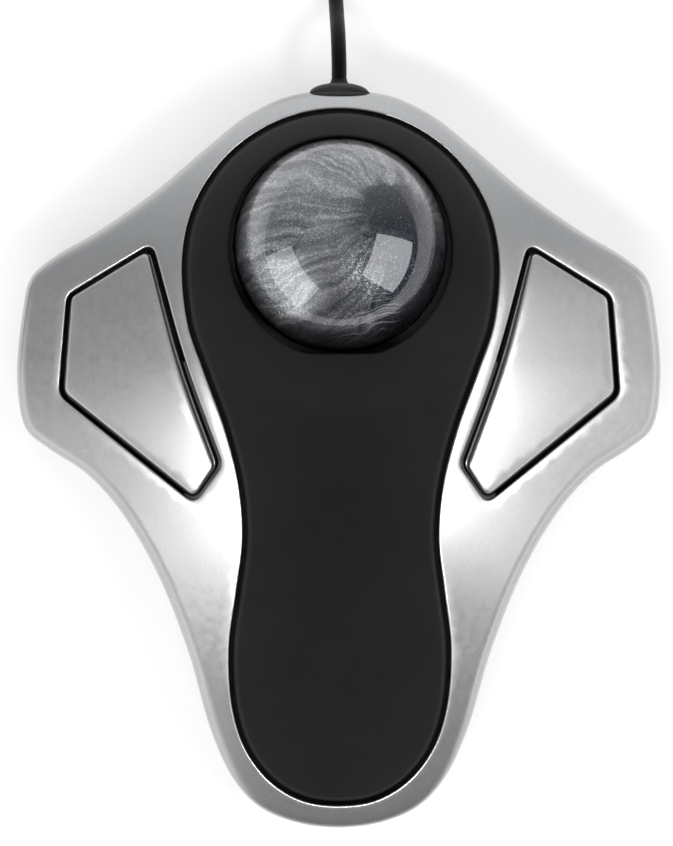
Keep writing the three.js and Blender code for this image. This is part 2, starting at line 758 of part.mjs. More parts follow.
function plugBody() {
  const relief = lathe([[0, 0], [1.9, 0], [2.1, 1], [2.9, 9], [0, 9]], 16);
  relief.rotateZ(-Math.PI / 2).translate(plugStart, plugY, plugZ);
  const shoulder = alongX(roundedSection(6.4, 3.4, 1.6), plugStart + 8, plugStart + 11);
  return combine(alongX(roundedSection(7.8, 4, 2.2), plugStart + 10.5, plugStart + 28), [relief, shoulder]);
}

const plugFace = plugStart + 28 + gap;

function plugShell() {
  const tubeWall = 0.4;
  const outside = roundedSection(6, 2.25, 0.7);
  const inside = roundedSection(6 - tubeWall, 2.25 - tubeWall, 0.4);
  return alongX(outside, plugFace, plugFace + 12, [inside]);
}

function plugTongue() {
  return alongX(roundedSection(5.3, 0.9, 0.2), plugFace, plugFace + 11).translate(0, 0, 0.65);
}

// ---------------------------------------------------------------- the assembly

const mouse = new THREE.Group();

function add(name, geometry, material, x = 0, y = 0, z = 0, parent = mouse) {
  const mesh = new THREE.Mesh(toCreasedNormals(weld(geometry), 0.6), material);
  mesh.name = name;
  mesh.position.set(x, y, z);
  parent.add(mesh);
  return mesh;
}

add('top_shell', topShell(), silverPaint);
add('center_cover', centerCover(), softBlack);
add('base_shell', baseShell(), blackPlastic);

for (const [side, hand] of [[-1, 'left'], [1, 'right']]) {
  add(`button_${hand}`, keycap(side), silverPaint);
  add(`button_frame_${hand}`, buttonFrame(side), blackPlastic);
  add(`hinge_pin_${hand}`, pinCylinder(pinFrame(side), pinRadius, pinHalf, 10), steel);
  add(`switch_${hand}`, switchBody(side), blackPlastic);
  const plungerHeight = plungerRise + plungerSunk;
  const plunger = new THREE.BoxGeometry(2.8, 1.3, plungerHeight);
  const plungerZ = switchTop + plungerRise - plungerHeight / 2;
  add(`switch_plunger_${hand}`, plunger, redPlastic, -side * switchPlace.x, switchPlace.y, plungerZ);
}

add('ball', new THREE.SphereGeometry(ballRadius, 26, 16), marbledGrey, ...ballCentre);
add('ball_socket', ballSocket(), blackPlastic);
bearingDirections.forEach((way, i) => {
  const centre = way.clone().multiplyScalar(bearingDistance).add(ballCentre);
  add(`bearing_${i + 1}`, new THREE.SphereGeometry(bearingRadius, 8, 6), ceramic, ...centre);
});

add('sensor_window', acrossSensorLine(cylinder(3.7, 21.2, 22.2, 0, 0, 20)), redPlastic);
add('sensor_lens', acrossSensorLine(box(9.2, 8, 2.3, 0, 0, 24.1)), clearPlastic);
add('optical_sensor', acrossSensorLine(box(9.2, 8.6, 2, 0, 0, 26.6)), blackPlastic);
const ledProfile = [[0, 24.6], [0.9, 24.8], [1.4, 25.5], [1.4, 27.6], [0, 27.6]];
add('sensor_led', acrossSensorLine(uprightLathe(ledProfile, 12).translate(6.5, 0, 0)), clearPlastic);
add('sensor_board', acrossSensorLine(box(17, 12, boardThickness, 0, 0, 28.7)), boardGreen);

add('main_board', mainBoard(), boardGreen);
add('usb_controller', usbController(), blackPlastic, 0, -10, boardTop);
add('crystal', extrude(roundedSection(2.3, 5.4, 2.1), 0, 3.5), steel, 10, -10, boardTop);
add('capacitor', cylinder(2.5, 0, 7), blackPlastic, -9, -24, boardTop);
add('cable_header', box(10, 5, 5, 0, 0, 2.5), whitePlastic, -9, 11, boardTop);
const leadRoute = [
  [0, 65.1, 14.4], [-0.2, 63.9, 14.2], [-3, 62, 12.2], [-7.5, 59.5, 9], [-12.5, 53, 6], [-15, 45, 5.1],
  [-15, 33, 5.1], [-12.5, 25, 6], [-10, 18.5, 8], [-9, 13.9, 8.6],
];
add('inner_lead', tube(leadRoute, 1.2, 16), blackRubber);

caseScrews.forEach(({ x, y, reach }, i) => {
  add(`case_screw_${i + 1}`, screw(2.3, 1, 1.05, reach - 1.3), steel, x, y, 1.3);
});
socketScrews.forEach(({ x, y }, i) => {
  const turned = screw(2, 1, 0.85, 9).rotateX(Math.PI);
  add(`socket_screw_${i + 1}`, turned, steel, x, y, earTop + 1 + gap / 2);
});
boardScrews.forEach(({ x, y }, i) => {
  const turned = screw(1.8, 0.9, 0.7, 3.4).rotateX(Math.PI);
  add(`board_screw_${i + 1}`, turned, steel, x, y, boardTop + 0.9 + gap / 2);
});
feet.forEach(({ x, y }, i) => add(`rubber_foot_${i + 1}`, foot(), blackRubber, x, y));
add('blank_label', extrude(labelOutline(0), footHeight, footHeight + 0.3), labelGrey);

add('cable_grommet', grommet(), blackRubber);
add('cable', tube(cableRoute, cableRadius, 14), blackRubber);
add('cable_tail', tube(tailRoute, cableRadius, 6), blackRubber);
add('cable_coil', coil(), blackRubber);
add('cable_tie', coilTie(), blackPlastic);
add('usb_plug_body', plugBody(), blackPlastic);
add('usb_plug_shell', plugShell(), steel);
add('usb_plug_tongue', plugTongue(), whitePlastic);

export default mouse;
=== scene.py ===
import json
import math

import bmesh
import bpy
import numpy as np
from mathutils import Matrix, Vector
from mathutils.geometry import delaunay_2d_cdt

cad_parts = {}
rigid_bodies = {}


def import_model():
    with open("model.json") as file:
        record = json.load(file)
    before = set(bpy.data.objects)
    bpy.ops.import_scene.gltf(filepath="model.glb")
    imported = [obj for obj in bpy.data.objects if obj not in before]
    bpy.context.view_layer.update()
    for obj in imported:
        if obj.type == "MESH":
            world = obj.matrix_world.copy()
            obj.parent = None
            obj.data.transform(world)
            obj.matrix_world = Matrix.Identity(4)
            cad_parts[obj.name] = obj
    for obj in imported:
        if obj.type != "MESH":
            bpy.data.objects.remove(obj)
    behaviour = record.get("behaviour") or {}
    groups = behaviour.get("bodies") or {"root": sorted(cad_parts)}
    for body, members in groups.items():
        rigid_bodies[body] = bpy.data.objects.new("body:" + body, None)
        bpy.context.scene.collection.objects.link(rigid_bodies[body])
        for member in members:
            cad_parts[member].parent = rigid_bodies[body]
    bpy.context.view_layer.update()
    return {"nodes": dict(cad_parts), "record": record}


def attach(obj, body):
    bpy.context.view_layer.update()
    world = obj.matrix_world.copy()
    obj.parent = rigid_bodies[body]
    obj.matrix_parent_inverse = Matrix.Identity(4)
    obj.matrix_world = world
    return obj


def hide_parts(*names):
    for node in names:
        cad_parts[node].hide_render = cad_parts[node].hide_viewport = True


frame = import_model()

# Shapes are worked out in millimetres, +Y towards the cable, and each mesh is made in metres.
MM = 0.001
CASE = "case"

# ---- driving dimensions

GAP = 0.3  # between pieces that touch
FOOT_HEIGHT = 1
FLOOR_TOP = 3
PARTING_Z = 6
WALL = 2

CREST_Y, CREST_Z = 20, 35.5
FRONT_DROP, FRONT_LENGTH = 11, 47
PALM_DROP, PALM_LENGTH, PALM_POWER = 22.5, 87, 1.87
WING_FALL, PALM_FALL = 0.42, -0.1
RIDGE_RADIUS = 22
ROLL_WIDTH, ROLL_SHARE = 1.6, 0.1

BALL_RADIUS = 20
BALL_CENTRE = (0, 40.8, 27)
BALL_HOLE_Y, BALL_HOLE_RADIUS, BALL_HOLE_FLAT_Y = 40.1, 21.2, 20
COLLAR_WALL, COLLAR_BOTTOM = 1.5, 23.3
DISH_Y, DISH_RADIUS, DISH_SLOPE = 35.2, 27.4, 0.22
DISH_CREASE = 0.8  # how softly the dish begins

COVER_GROOVE = 0.95
COVER_RADIUS, COVER_Y = 30, 36.9

CASE_HALF = [
    (0, 70.5), (9.3, 69.6), (17.5, 65.8), (25.7, 59.2), (35, 51.3), (46.2, 43.6), (54.6, 38.8),
    (59.1, 34.9), (60.8, 27.9), (61.8, 15), (60.1, 5.9), (55.8, 2.2), (48.7, -2.4), (42.3, -9.2),
    (35.2, -20.9), (29, -36.6), (24.6, -52.2), (20.4, -61.6), (15.6, -67), (8.9, -70.1), (0, -71.3),
]
COVER_TAIL = [
    (29, 26), (26, 17), (21.9, 5.7), (19.3, -5), (18.6, -15), (19.8, -25), (21.2, -36),
    (20.5, -47.9), (18, -55.8), (13.2, -62.2), (7, -65.9), (0, -66.9),
]
# A button's corners: x, y and how far the rounding reaches along each edge
OPENING_CORNERS = [
    (-35.6, 41.2, 2.4), (-52.2, 31.4, 1.6), (-53.8, 12.3, 2), (-27.7, -8.4, 2.2), (-22.2, -0.9, 1.6),
    (-29.5, 18.6, 9),
]
FACE_CORNERS = [
    (-36.7, 39.6, 1.4), (-51.2, 31, 1), (-52.6, 12.9, 1.2), (-27.8, -6.9, 1.4), (-24.1, -1.2, 1),
    (-31.3, 18.4, 8),
]
SKIRT_INSET, SKIRT_WALL, SKIRT_DEPTH = 0.6, 1.4, 5.5
KEY_THICKNESS, KEY_BEVEL = 2, 0.5
FRAME_WALL, FRAME_TOP, LEDGE_TOP, LEDGE_BOTTOM, LEDGE_REACH = 1, 2.3, 7.5, 9, 1.2
PIN_ENDS = [(-37.6, 35.6), (-46.5, 30.4)]
PIN_DEPTH, PIN_BORE, PIN_HALF = 4.4, 0.95, 5.2
SWITCH_X, SWITCH_Y, PLUNGER_TOP = -33, 2, 13.6

# x, y, radius of the boss and reach of the screw
CASE_SCREWS = [
    (side * x, y, radius, reach)
    for x, y, radius, reach in ((29.4, 51, 2.5, 12), (56.5, 22, 2.5, 12), (23.8, -40, 1.9, 12))
    for side in (1, -1)
]
SCREW_BORE = 1.4
FEET = [(side * x, y) for x, y in ((37.5, 39.2), (11, -53)) for side in (1, -1)]
FOOT_RADIUS = 5
LABEL_CORNERS = [(17, -7), (-17, -7), (-17, -29), (17, -29)]
LABEL_Y, LABEL_BORDER_X, LABEL_BORDER_Y = -18, 15.4, 9.4  # the middle, and half the printed border

SOCKET_SCREWS = [
    (25 * math.cos(a), BALL_CENTRE[1] + 25 * math.sin(a)) for a in np.radians([45, 135, 225, 315])
]
BOARD_SCREWS = [(12, -38), (-12, -38)]
SWITCH_POSTS = [(37.5, -1.5), (-37.5, -1.5)]
SOCKET_POST_TOP, BOARD_POST_TOP = 17.7, 4.4
SOCKET_BORE, BOARD_BORE = 1.15, 0.95
SCREW_HEAD_Z = 1.3  # how far the case screws' heads lie in their wells

CABLE_RADIUS = 1.45
CABLE_EXIT = (0, 73.2, 14.4)
GROMMET_RADIUS = 5.65
COIL_X, COIL_Y, COIL_RADIUS = -10.5, 124, 17.85
COIL_PITCH = 2.95
PLUG_START, PLUG_Y, PLUG_Z = 20, 146.1, 4.1
PLUG_FACE = PLUG_START + 28 + GAP

# ---- flat curves, as rows of x and y


def spline(points, closed=True, steps=16):
    """A centripetal Catmull-Rom curve through the points."""
    p = np.asarray(points, float)
    if closed:
        p = np.vstack([p[-1:], p, p[:2]])
    else:
        p = np.vstack([2 * p[0] - p[1], p, 2 * p[-1] - p[-2]])
    u = np.linspace(0, 1, steps, endpoint=False)[:, None]
    made = []
    for a, b, c, d in zip(p, p[1:], p[2:], p[3:]):
        t0, t1, t2 = (math.sqrt(np.linalg.norm(q - r)) for q, r in ((b, a), (c, b), (d, c)))
        start = ((b - a) / t0 - (c - a) / (t0 + t1) + (c - b) / t1) * t1
        end = ((c - b) / t1 - (d - b) / (t1 + t2) + (d - c) / t2) * t1
        here = (2 * u**3 - 3 * u**2 + 1) * b + (3 * u**2 - 2 * u**3) * c
        made.append(here + (u**3 - 2 * u**2 + u) * start + (u**3 - u**2) * end)
    if not closed:
        made.append(p[-2:-1])
    return np.vstack(made)


def mirrored(half):
    """A counter-clockwise loop from its right half, listed from the top down."""
    half = np.asarray(half, float)
    return np.vstack([half, half[-2:0:-1] * (-1, 1)])[::-1]


def resample(loop, count):
    """Evenly spaced points along a closed loop."""
    closed = np.vstack([loop, loop[:1]])
    along = np.concatenate([[0], np.cumsum(np.linalg.norm(np.diff(closed, axis=0), axis=1))])
    wanted = np.linspace(0, along[-1], count, endpoint=False)
    return np.column_stack([np.interp(wanted, along, closed[:, k]) for k in (0, 1)])


def inset(loop, distance):
    """Moves a counter-clockwise loop inwards along its normals, or outwards if negative."""
    along = np.roll(loop, -1, axis=0) - np.roll(loop, 1, axis=0)
    along /= np.linalg.norm(along, axis=1)[:, None]
    return loop + np.reshape(distance, (-1, 1)) * np.column_stack([-along[:, 1], along[:, 0]])


def rounded_polygon(corners, corner_steps=6, edge_steps=14):
    """Every corner is rounded with a quadratic curve, and every edge has the same number of points."""
    flat = [np.array(corner[:2], float) for corner in corners]
    arcs = []
    for i, (corner, (_, _, reach)) in enumerate(zip(flat, corners)):
        before, after = flat[i - 1] - corner, flat[(i + 1) % len(flat)] - corner
        start = corner + before * reach / np.linalg.norm(before)
        end = corner + after * reach / np.linalg.norm(after)
        t = np.linspace(0, 1, corner_steps + 1)[:, None]
        arcs.append((1 - t) ** 2 * start + 2 * t * (1 - t) * corner + t**2 * end)
    points = []
    for i, arc in enumerate(arcs):
        points.append(arc)
        t = np.linspace(0, 1, edge_steps + 2)[1:-1, None]
        points.append(arc[-1] + t * (arcs[(i + 1) % len(arcs)][0] - arc[-1]))
    return np.vstack(points)


def inset_corners(corners, distance):
    """Moves a polygon's edges inwards, keeping its corners' rounding."""
    flat = [np.array(corner[:2], float) for corner in corners]
    made = []
    for i, (corner, (_, _, reach)) in enumerate(zip(flat, corners)):
        into, out = corner - flat[i - 1], flat[(i + 1) % len(flat)] - corner
        normals = [np.array((-way[1], way[0])) / np.linalg.norm(way) for way in (into, out)]
        shift = distance / (1 + normals[0] @ normals[1]) * (normals[0] + normals[1])
        made.append((*(corner + shift), reach))
    return made


def inset_polygon(corners, distance):
    return rounded_polygon(inset_corners(corners, distance))


def circle(radius, x=0, y=0, count=48):
    angles = np.linspace(0, 2 * math.pi, count, endpoint=False)
    return np.column_stack([x + radius * np.cos(angles), y + radius * np.sin(angles)])


def distance_to(loop, points):
    """How far each point is from a closed loop."""
    along = np.roll(loop, -1, axis=0) - loop
    square = (along**2).sum(1)
    made = []
    for part in np.array_split(points, max(1, len(points) // 1500)):
        away = part[:, None] - loop
        share = np.clip((away * along).sum(2) / square, 0, 1)
        made.append(np.linalg.norm(away - share[..., None] * along, axis=2).min(1))
    return np.concatenate(made)


def inside(loop, points):
    x, y = points[:, :1], points[:, 1:2]
    a, b = loop, np.roll(loop, -1, axis=0)
    spans = (a[:, 1] > y) != (b[:, 1] > y)
    slope = (b[:, 0] - a[:, 0]) / (b[:, 1] - a[:, 1] + 1e-12)
    return (spans & (x < a[:, 0] + (y - a[:, 1]) * slope)).sum(1) % 2 == 1


def arc(radius, steps=4):
    """A rounded edge, from its side to its top: pairs of distance from the edge and depth."""
    angles = np.linspace(0, math.pi / 2, steps + 1)
    return [(radius * (1 - math.cos(a)), radius * (1 - math.sin(a))) for a in angles]


# ---- the case's outlines and skin


def cover_half():
    angles = np.radians([90, 68, 46, 24, 4])
    front = np.column_stack([COVER_RADIUS * np.cos(angles), COVER_Y + COVER_RADIUS * np.sin(angles)])
    return np.vstack([front, COVER_TAIL])


def ball_hole(grown=0.0):
    """The ball's opening: a circle with a flat towards the palm, softened at the flat's ends."""
    loop = circle(BALL_HOLE_RADIUS + grown, 0, BALL_HOLE_Y, 720)
    flat = BALL_HOLE_FLAT_Y - grown
    softness = 0.25
    over = loop[:, 1] - flat
    loop[:, 1] = flat + (over + np.sqrt(over**2 + softness**2)) / 2
    return resample(loop, 160)


CASE_LOOP = resample(spline(mirrored(CASE_HALF)), 420)
COVER_OPENING = resample(spline(mirrored(cover_half())), 320)
COVER_LOOP = inset(COVER_OPENING, COVER_GROOVE)


def on_side(corners, side):
    """The left button's corners, or the right one's for side 1."""
    return corners if side < 0 else [(-x, y, reach) for x, y, reach in corners][::-1]


def spine(y):
    front = FRONT_DROP * (np.maximum(0, y - CREST_Y) / FRONT_LENGTH) ** 3
    palm = PALM_DROP * (np.maximum(0, CREST_Y - y) / PALM_LENGTH) ** PALM_POWER
    return CREST_Z - front - palm


def skin(x, y):
    """Height of the case's outer surface."""
    x, y = np.atleast_1d(x), np.atleast_1d(y)
    palm = np.clip(-y / 50, 0, 1)
    fall = WING_FALL + PALM_FALL * palm * palm * (3 - 2 * palm)
    crown = spine(y) - fall * (np.hypot(x, RIDGE_RADIUS) - RIDGE_RADIUS)
    near = np.minimum(1, distance_to(CASE_LOOP, np.column_stack([x, y])) / ROLL_WIDTH)
    roll = 1 - np.sqrt(1 - (1 - near) ** 2)
    into = DISH_RADIUS - np.hypot(x, y - DISH_Y)
    dish = DISH_SLOPE * (into + np.sqrt(into**2 + DISH_CREASE**2)) / 2
    return PARTING_Z + (crown - PARTING_Z) * (1 - ROLL_SHARE * roll) - dish


def below(depth):
    return lambda x, y: skin(x, y) - depth


def lowest_skin_over(x, y, radius):
    around = circle(radius, x, y, 12)
    return skin(around[:, 0], around[:, 1]).min()


# ---- mesh building


def regions(triangles, walls):
    """Groups the triangles that meet across edges that aren't walls."""
    beside = {}
    for i, triangle in enumerate(triangles):
        for a, b in zip(triangle, triangle[1:] + triangle[:1]):
            beside.setdefault((min(a, b), max(a, b)), []).append(i)
    near = [[] for _ in triangles]
    for line, pair in beside.items():
        if line not in walls and len(pair) == 2:
            near[pair[0]].append(pair[1])
            near[pair[1]].append(pair[0])
    seen, groups = set(), []
    for first in range(len(triangles)):
        if first in seen:
            continue
        group, waiting = [], [first]
        seen.add(first)
        while waiting:
            here = waiting.pop()
            group.append(here)
            fresh = [i for i in near[here] if i not in seen]
            seen.update(fresh)
            waiting.extend(fresh)
        groups.append(group)
    return groups


class Shape:
    """Points in millimetres and the faces between them, gathered until they make closed bodies."""

    def __init__(self):
        self.points = []
        self.faces = []
        self.marks = []

    def loop(self, points):
        """Adds points and returns their numbers."""
        start = len(self.points)
        self.points.extend(np.asarray(points, float))
        return list(range(start, len(self.points)))

    def ring(self, outline, height):
        """Adds a flat outline at a height, which is a number or a function of x and y."""
        x, y = outline[:, 0], outline[:, 1]
        z = height(x, y) if callable(height) else np.full(len(x), float(height))
        return self.loop(np.column_stack([x, y, z]))

    def insets(self, outline, steps):
        """Adds one outline several times, each moved inwards and at a height of its own."""
        return [self.ring(inset(outline, into), height) for into, height in steps]

    def add(self, face, mark=0):
        self.faces.append(face)
        self.marks.append(mark)

    def bridge(self, upper, lower, mark=0):
        """A band of faces between two rings of as many points."""
        for a, b, c, d in zip(upper, lower, lower[1:] + lower[:1], upper[1:] + upper[:1]):
            self.add((a, b, c, d), mark)

    def bridges(self, rings, mark=0):
        for upper, lower in zip(rings, rings[1:]):
            self.bridge(upper, lower, mark)

    def cap(self, ring):
        self.add(tuple(ring))

    def solid(self, rings):
        """Bands through the rings, closed at both ends."""
        self.bridges(rings)
        self.cap(rings[0])
        self.cap(rings[-1])

    def fan(self, ring, point):
        """Triangles from a ring to one point."""
        centre = self.loop([point])[0]
        for a, b in zip(ring, ring[1:] + ring[:1]):
            self.add((a, b, centre))

    def sheet(self, rings, height, spacing, mark=0):
        """Fills the space inside the first ring and outside the others, with evenly spread points."""
        flat = [np.array([self.points[i][:2] for i in ring]) for ring in rings]
        low, high = flat[0].min(0), flat[0].max(0)
        rows = np.arange(low[1], high[1], spacing * 0.866)
        columns = np.arange(low[0], high[0], spacing)
        x, y = np.meshgrid(columns, rows)
        x = x + (np.arange(len(rows)) % 2)[:, None] * spacing / 2
        inner = np.column_stack([x.ravel(), y.ravel()])
        inner = inner[inside(flat[0], inner)]
        for loop in flat[1:]:
            inner = inner[~inside(loop, inner)]
        for loop in flat:
            inner = inner[distance_to(loop, inner) > spacing * 0.55]
        edge = [i for ring in rings for i in ring]
        corners = [Vector(p) for p in np.vstack(flat)] + [Vector(p) for p in inner]
        lines, start = [], 0
        for ring in rings:
            count = len(ring)
            lines += [(start + i, start + (i + 1) % count) for i in range(count)]
            start += count
        made, _, triangles, sources, _, _ = delaunay_2d_cdt(corners, lines, [], 0, 1e-6)
        if not all(sources):
            raise ValueError("the outlines of a sheet cross each other")
        new = self.loop(np.column_stack([inner, height(inner[:, 0], inner[:, 1])]))
        known = edge + new
        number = [known[source[0]] for source in sources]
        walls = {tuple(sorted((edge[a], edge[b]))) for a, b in lines}
        spots = np.array([tuple(p) for p in made])[np.array(triangles)]
        wanted = inside(flat[0], spots.mean(1))
        for loop in flat[1:]:
            wanted &= ~inside(loop, spots.mean(1))
        (ax, ay), (bx, by) = (spots[:, 1] - spots[:, 0]).T, (spots[:, 2] - spots[:, 0]).T
        areas = np.abs(ax * by - ay * bx) / 2
        triangles = [tuple(number[i] for i in triangle) for triangle in triangles]
        for region in regions(triangles, walls):
            area = areas[region].sum()
            if area > 0.01 and (areas * wanted)[region].sum() > area / 2:
                for i in region:
                    self.add(triangles[i], mark)

    def mesh(self, name):
        mesh = bpy.data.meshes.new(name)
        mesh.from_pydata((np.array(self.points) * MM).tolist(), [], self.faces)
        mesh.polygons.foreach_set("material_index", self.marks)
        bm = bmesh.new()
        bm.from_mesh(mesh)
        bmesh.ops.recalc_face_normals(bm, faces=bm.faces)
        bm.to_mesh(mesh)
        bm.free()
        return mesh


def lathe(profile, steps, place):
    """Turns a profile of radius and height about Z, then puts it in its place."""
    shape = Shape()
    rings = []
    for radius, height in profile:
        turned = circle(radius, 0, 0, steps)
        points = [place @ Vector((x, y, height)) for x, y in turned]
        if radius > 1e-6:
            rings.append(shape.loop(points))
        elif rings:
            shape.fan(rings[-1], place @ Vector((0, 0, height)))
        else:
            rings.append(place @ Vector((0, 0, height)))
    if isinstance(rings[0], Vector):
        shape.fan(rings[1], rings[0])
        rings = rings[1:]
    shape.bridges(rings)
    return shape


def upright(x=0, y=0, z=0):
    return Matrix.Translation((x, y, z))


def prism(outline, bottom, top):
    shape = Shape()
    shape.solid([shape.ring(outline, top), shape.ring(outline, bottom)])
    return shape


def cylinder(radius, bottom, top, x=0, y=0, steps=32):
    return prism(circle(radius, x, y, steps), bottom, top)


def block(low, high, place=Matrix()):
    """A box between two corners, in a place of its own."""
    corners = [(low[0], low[1]), (high[0], low[1]), (high[0], high[1]), (low[0], high[1])]
    shape = prism(np.array(corners, float), low[2], high[2])
    shape.points = [np.array(place @ Vector(p)) for p in shape.points]
    return shape


def in_scene(name, data):
    piece = bpy.data.objects.new(name, data)
    bpy.context.scene.collection.objects.link(piece)
    return piece


def carve(mesh, added=(), removed=()):
    """Joins closed shapes to a mesh, then cuts others out of it."""
    base = in_scene("base", mesh)
    tools = [base]
    for operation, shapes in (("UNION", added), ("DIFFERENCE", removed)):
        for shape in shapes:
            tool = in_scene("tool", shape.mesh("tool"))
            tools.append(tool)
            modifier = base.modifiers.new("boolean", "BOOLEAN")
            modifier.solver = "MANIFOLD"
            modifier.operation = operation
            modifier.object = tool
    bpy.context.view_layer.update()
    made = bpy.data.meshes.new_from_object(base.evaluated_get(bpy.context.evaluated_depsgraph_get()))
    for tool in tools:
        bpy.data.objects.remove(tool)
    return made


def place_piece(name, mesh, materials, body, replaced=(), sharp=35):
    """Makes the object, shades it, and lets it ride and stand for its CAD nodes."""
    piece = in_scene(name, mesh)
    mesh.name = name
    mesh.materials.clear()
    for material in materials:
        mesh.materials.append(material)
    mesh.shade_smooth()
    mesh.set_sharp_from_angle(angle=math.radians(sharp))
    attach(piece, body)
    if replaced:
        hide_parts(*replaced)
    return piece


# ---- materials

MARBLE_POLE = (0.50, 0.22, 0.84)  # the direction that the ball's streaks come from
# Painted shade on the ball, where it is dim or under the cover: a direction, its radius on a unit ball,
# softness and least light
BALL_PAINTED_SHADE = [
    ((0.50, 0.35, 0.79), 0.27, 0.06, 0.04),
    ((0.60, 0.00, 0.80), 0.52, 0.14, 0.08),
    ((0.62, -0.42, 0.66), 0.36, 0.22, 0.16),
    ((0.78, -0.58, 0.22), 0.56, 0.20, 0.14),
    ((0.00, -0.95, 0.30), 0.34, 0.20, 0.45),
]


class Nodes:
    """Adds shader nodes to the tree of a material or a world."""

    def __init__(self, owner):
        owner.use_nodes = True
        self.tree = owner.node_tree

    def node(self, kind, inputs=None, **settings):
        made = self.tree.nodes.new(kind)
        for key, value in settings.items():
            setattr(made, key, value)
        for key, value in (inputs or {}).items():
            self.feed(made.inputs[key], value)
        return made

    def feed(self, socket, value):
        if isinstance(value, bpy.types.NodeSocket):
            self.tree.links.new(value, socket)
        else:
            socket.default_value = value

    def spread(self, value, low, high, to_low=0.0, to_high=1.0, smooth=False):
        """Maps a range of values to another, and holds it at its ends."""
        ends = {"Value": value, "From Min": low, "From Max": high, "To Min": to_low, "To Max": to_high}
        kind = "SMOOTHSTEP" if smooth else "LINEAR"
        return self.node("ShaderNodeMapRange", ends, interpolation_type=kind).outputs["Result"]


class Surface(Nodes):
    """A procedural material: one Principled shader and the nodes that feed it."""

    def __init__(self, name, **fixed):
        self.material = bpy.data.materials.new(name)
        super().__init__(self.material)
        self.shader = self.tree.nodes["Principled BSDF"]
        self.set(**fixed)
        self.place = self.node("ShaderNodeTexCoord").outputs["Object"]

    def set(self, **values):
        for socket, value in values.items():
            self.feed(self.shader.inputs[socket.replace("_", " ")], value)

    def noise(self, scale, detail=3.0, roughness=0.5, distortion=0.0, place=None):
        inputs = {"Vector": place or self.place, "Scale": scale, "Detail": detail}
        inputs.update({"Roughness": roughness, "Distortion": distortion})
        return self.node("ShaderNodeTexNoise", inputs).outputs["Fac"]

    def cells(self, scale, place=None, feature="F1", output="Distance"):
        inputs = {"Vector": place or self.place, "Scale": scale}
        return self.node("ShaderNodeTexVoronoi", inputs, feature=feature).outputs[output]

    def math(self, operation, first, second=0.0, third=0.0):
        made = self.node("ShaderNodeMath", operation=operation)
        for socket, value in zip(made.inputs, (first, second, third)):
            self.feed(socket, value)
        return made.outputs[0]

    def vector(self, operation, first, second=(0, 0, 0), third=(0, 0, 0), scale=None):
        made = self.node("ShaderNodeVectorMath", operation=operation)
        for socket, value in zip(made.inputs, (first, second, third)):
            self.feed(socket, value)
        if scale is not None:
            self.feed(made.inputs["Scale"], scale)
        return made.outputs[0]

    def ramp(self, value, stops):
        """stops are positions with greys or colours."""
        made = self.node("ShaderNodeValToRGB", {"Fac": value})
        elements = made.color_ramp.elements
        while len(elements) < len(stops):
            elements.new(0.5)
        for element, (position, colour) in zip(elements, stops):
            element.position = position
            colour = (colour,) * 3 if isinstance(colour, (int, float)) else colour
            element.color = (*colour, 1)
        return made.outputs["Color"]

    def mix(self, share, first, second):
        made = self.node("ShaderNodeMix", data_type="RGBA")
        for socket, value in zip((made.inputs[0], made.inputs[6], made.inputs[7]), (share, first, second)):
            self.feed(socket, (*value, 1) if isinstance(value, tuple) and len(value) == 3 else value)
        return made.outputs[2]

    def scalar(self, operation, first, second):
        """A vector operation that gives a number."""
        made = self.node("ShaderNodeVectorMath", {0: first, 1: second}, operation=operation)
        return made.outputs["Value"]

    def tones(self, value, dark, pale):
        self.set(Base_Color=self.ramp(value, [(0.3, dark), (0.7, pale)]))

    def gloss(self, value, low, high):
        self.set(Roughness=self.spread(value, 0.3, 0.7, low, high))

    def relief(self, height, strength, distance_mm):
        inputs = {"Height": height, "Strength": strength, "Distance": distance_mm * MM}
        self.set(Normal=self.node("ShaderNodeBump", inputs).outputs["Normal"])

    def stretched(self, x, y, z):
        """The place with each axis multiplied, for grain that runs one way."""
        scale = {"Vector": self.place, "Scale": (x, y, z)}
        return self.node("ShaderNodeMapping", scale).outputs["Vector"]


def moulded(name, colour, dark, pale, sheen, low, high, grain, strength, depth, **fixed):
    """Soft drifts of tone and gloss, and a fine grain: three noises, each with what it spreads over."""
    s = Surface(name, **fixed)
    s.tones(s.noise(*colour), dark, pale)
    s.gloss(s.noise(*sheen), low, high)
    s.relief(s.noise(*grain), strength, depth)
    return s.material


def silver_paint():
    """Metallic paint: grains of slightly different greys under a soft drift."""
    s = Surface("silver_paint", Metallic=0.85, Specular_IOR_Level=0.5)
    grey = s.node("ShaderNodeSeparateColor", {"Color": s.cells(4200, output="Color")}).outputs[0]
    tone = s.math("ADD", s.noise(60, 3), s.spread(grey, 0, 1, -0.4, 0.4))
    s.set(Base_Color=s.ramp(tone, [(0.1, (0.475, 0.478, 0.482)), (0.9, (0.525, 0.526, 0.53))]))
    s.gloss(s.noise(900, 4), 0.28, 0.32)
    s.relief(s.math("ADD", s.noise(2600, 2), s.math("MULTIPLY", grey, 0.35)), 0.05, 0.05)
    return s.material


def soft_black():
    """The cover's soft-touch paint."""
    return moulded(
        "soft_black", (45, 4, 0.6), (0.038, 0.038, 0.039), (0.048, 0.048, 0.049),
        (300, 5, 0.65), 0.5, 0.6, (7000, 3, 0.6), 0.16, 0.03,
        Specular_IOR_Level=0.22, Sheen_Weight=0.02, Sheen_Roughness=0.5,
    )


def black_plastic():
    """Spark-eroded moulded plastic."""
    s = Surface("black_plastic", Specular_IOR_Level=0.45)
    s.tones(s.noise(90, 4), (0.010, 0.010, 0.011), (0.015, 0.015, 0.016))
    s.gloss(s.noise(700, 4), 0.42, 0.56)
    s.relief(s.math("ADD", s.cells(5200, feature="SMOOTH_F1"), s.noise(2600, 3)), 0.22, 0.06)
    return s.material


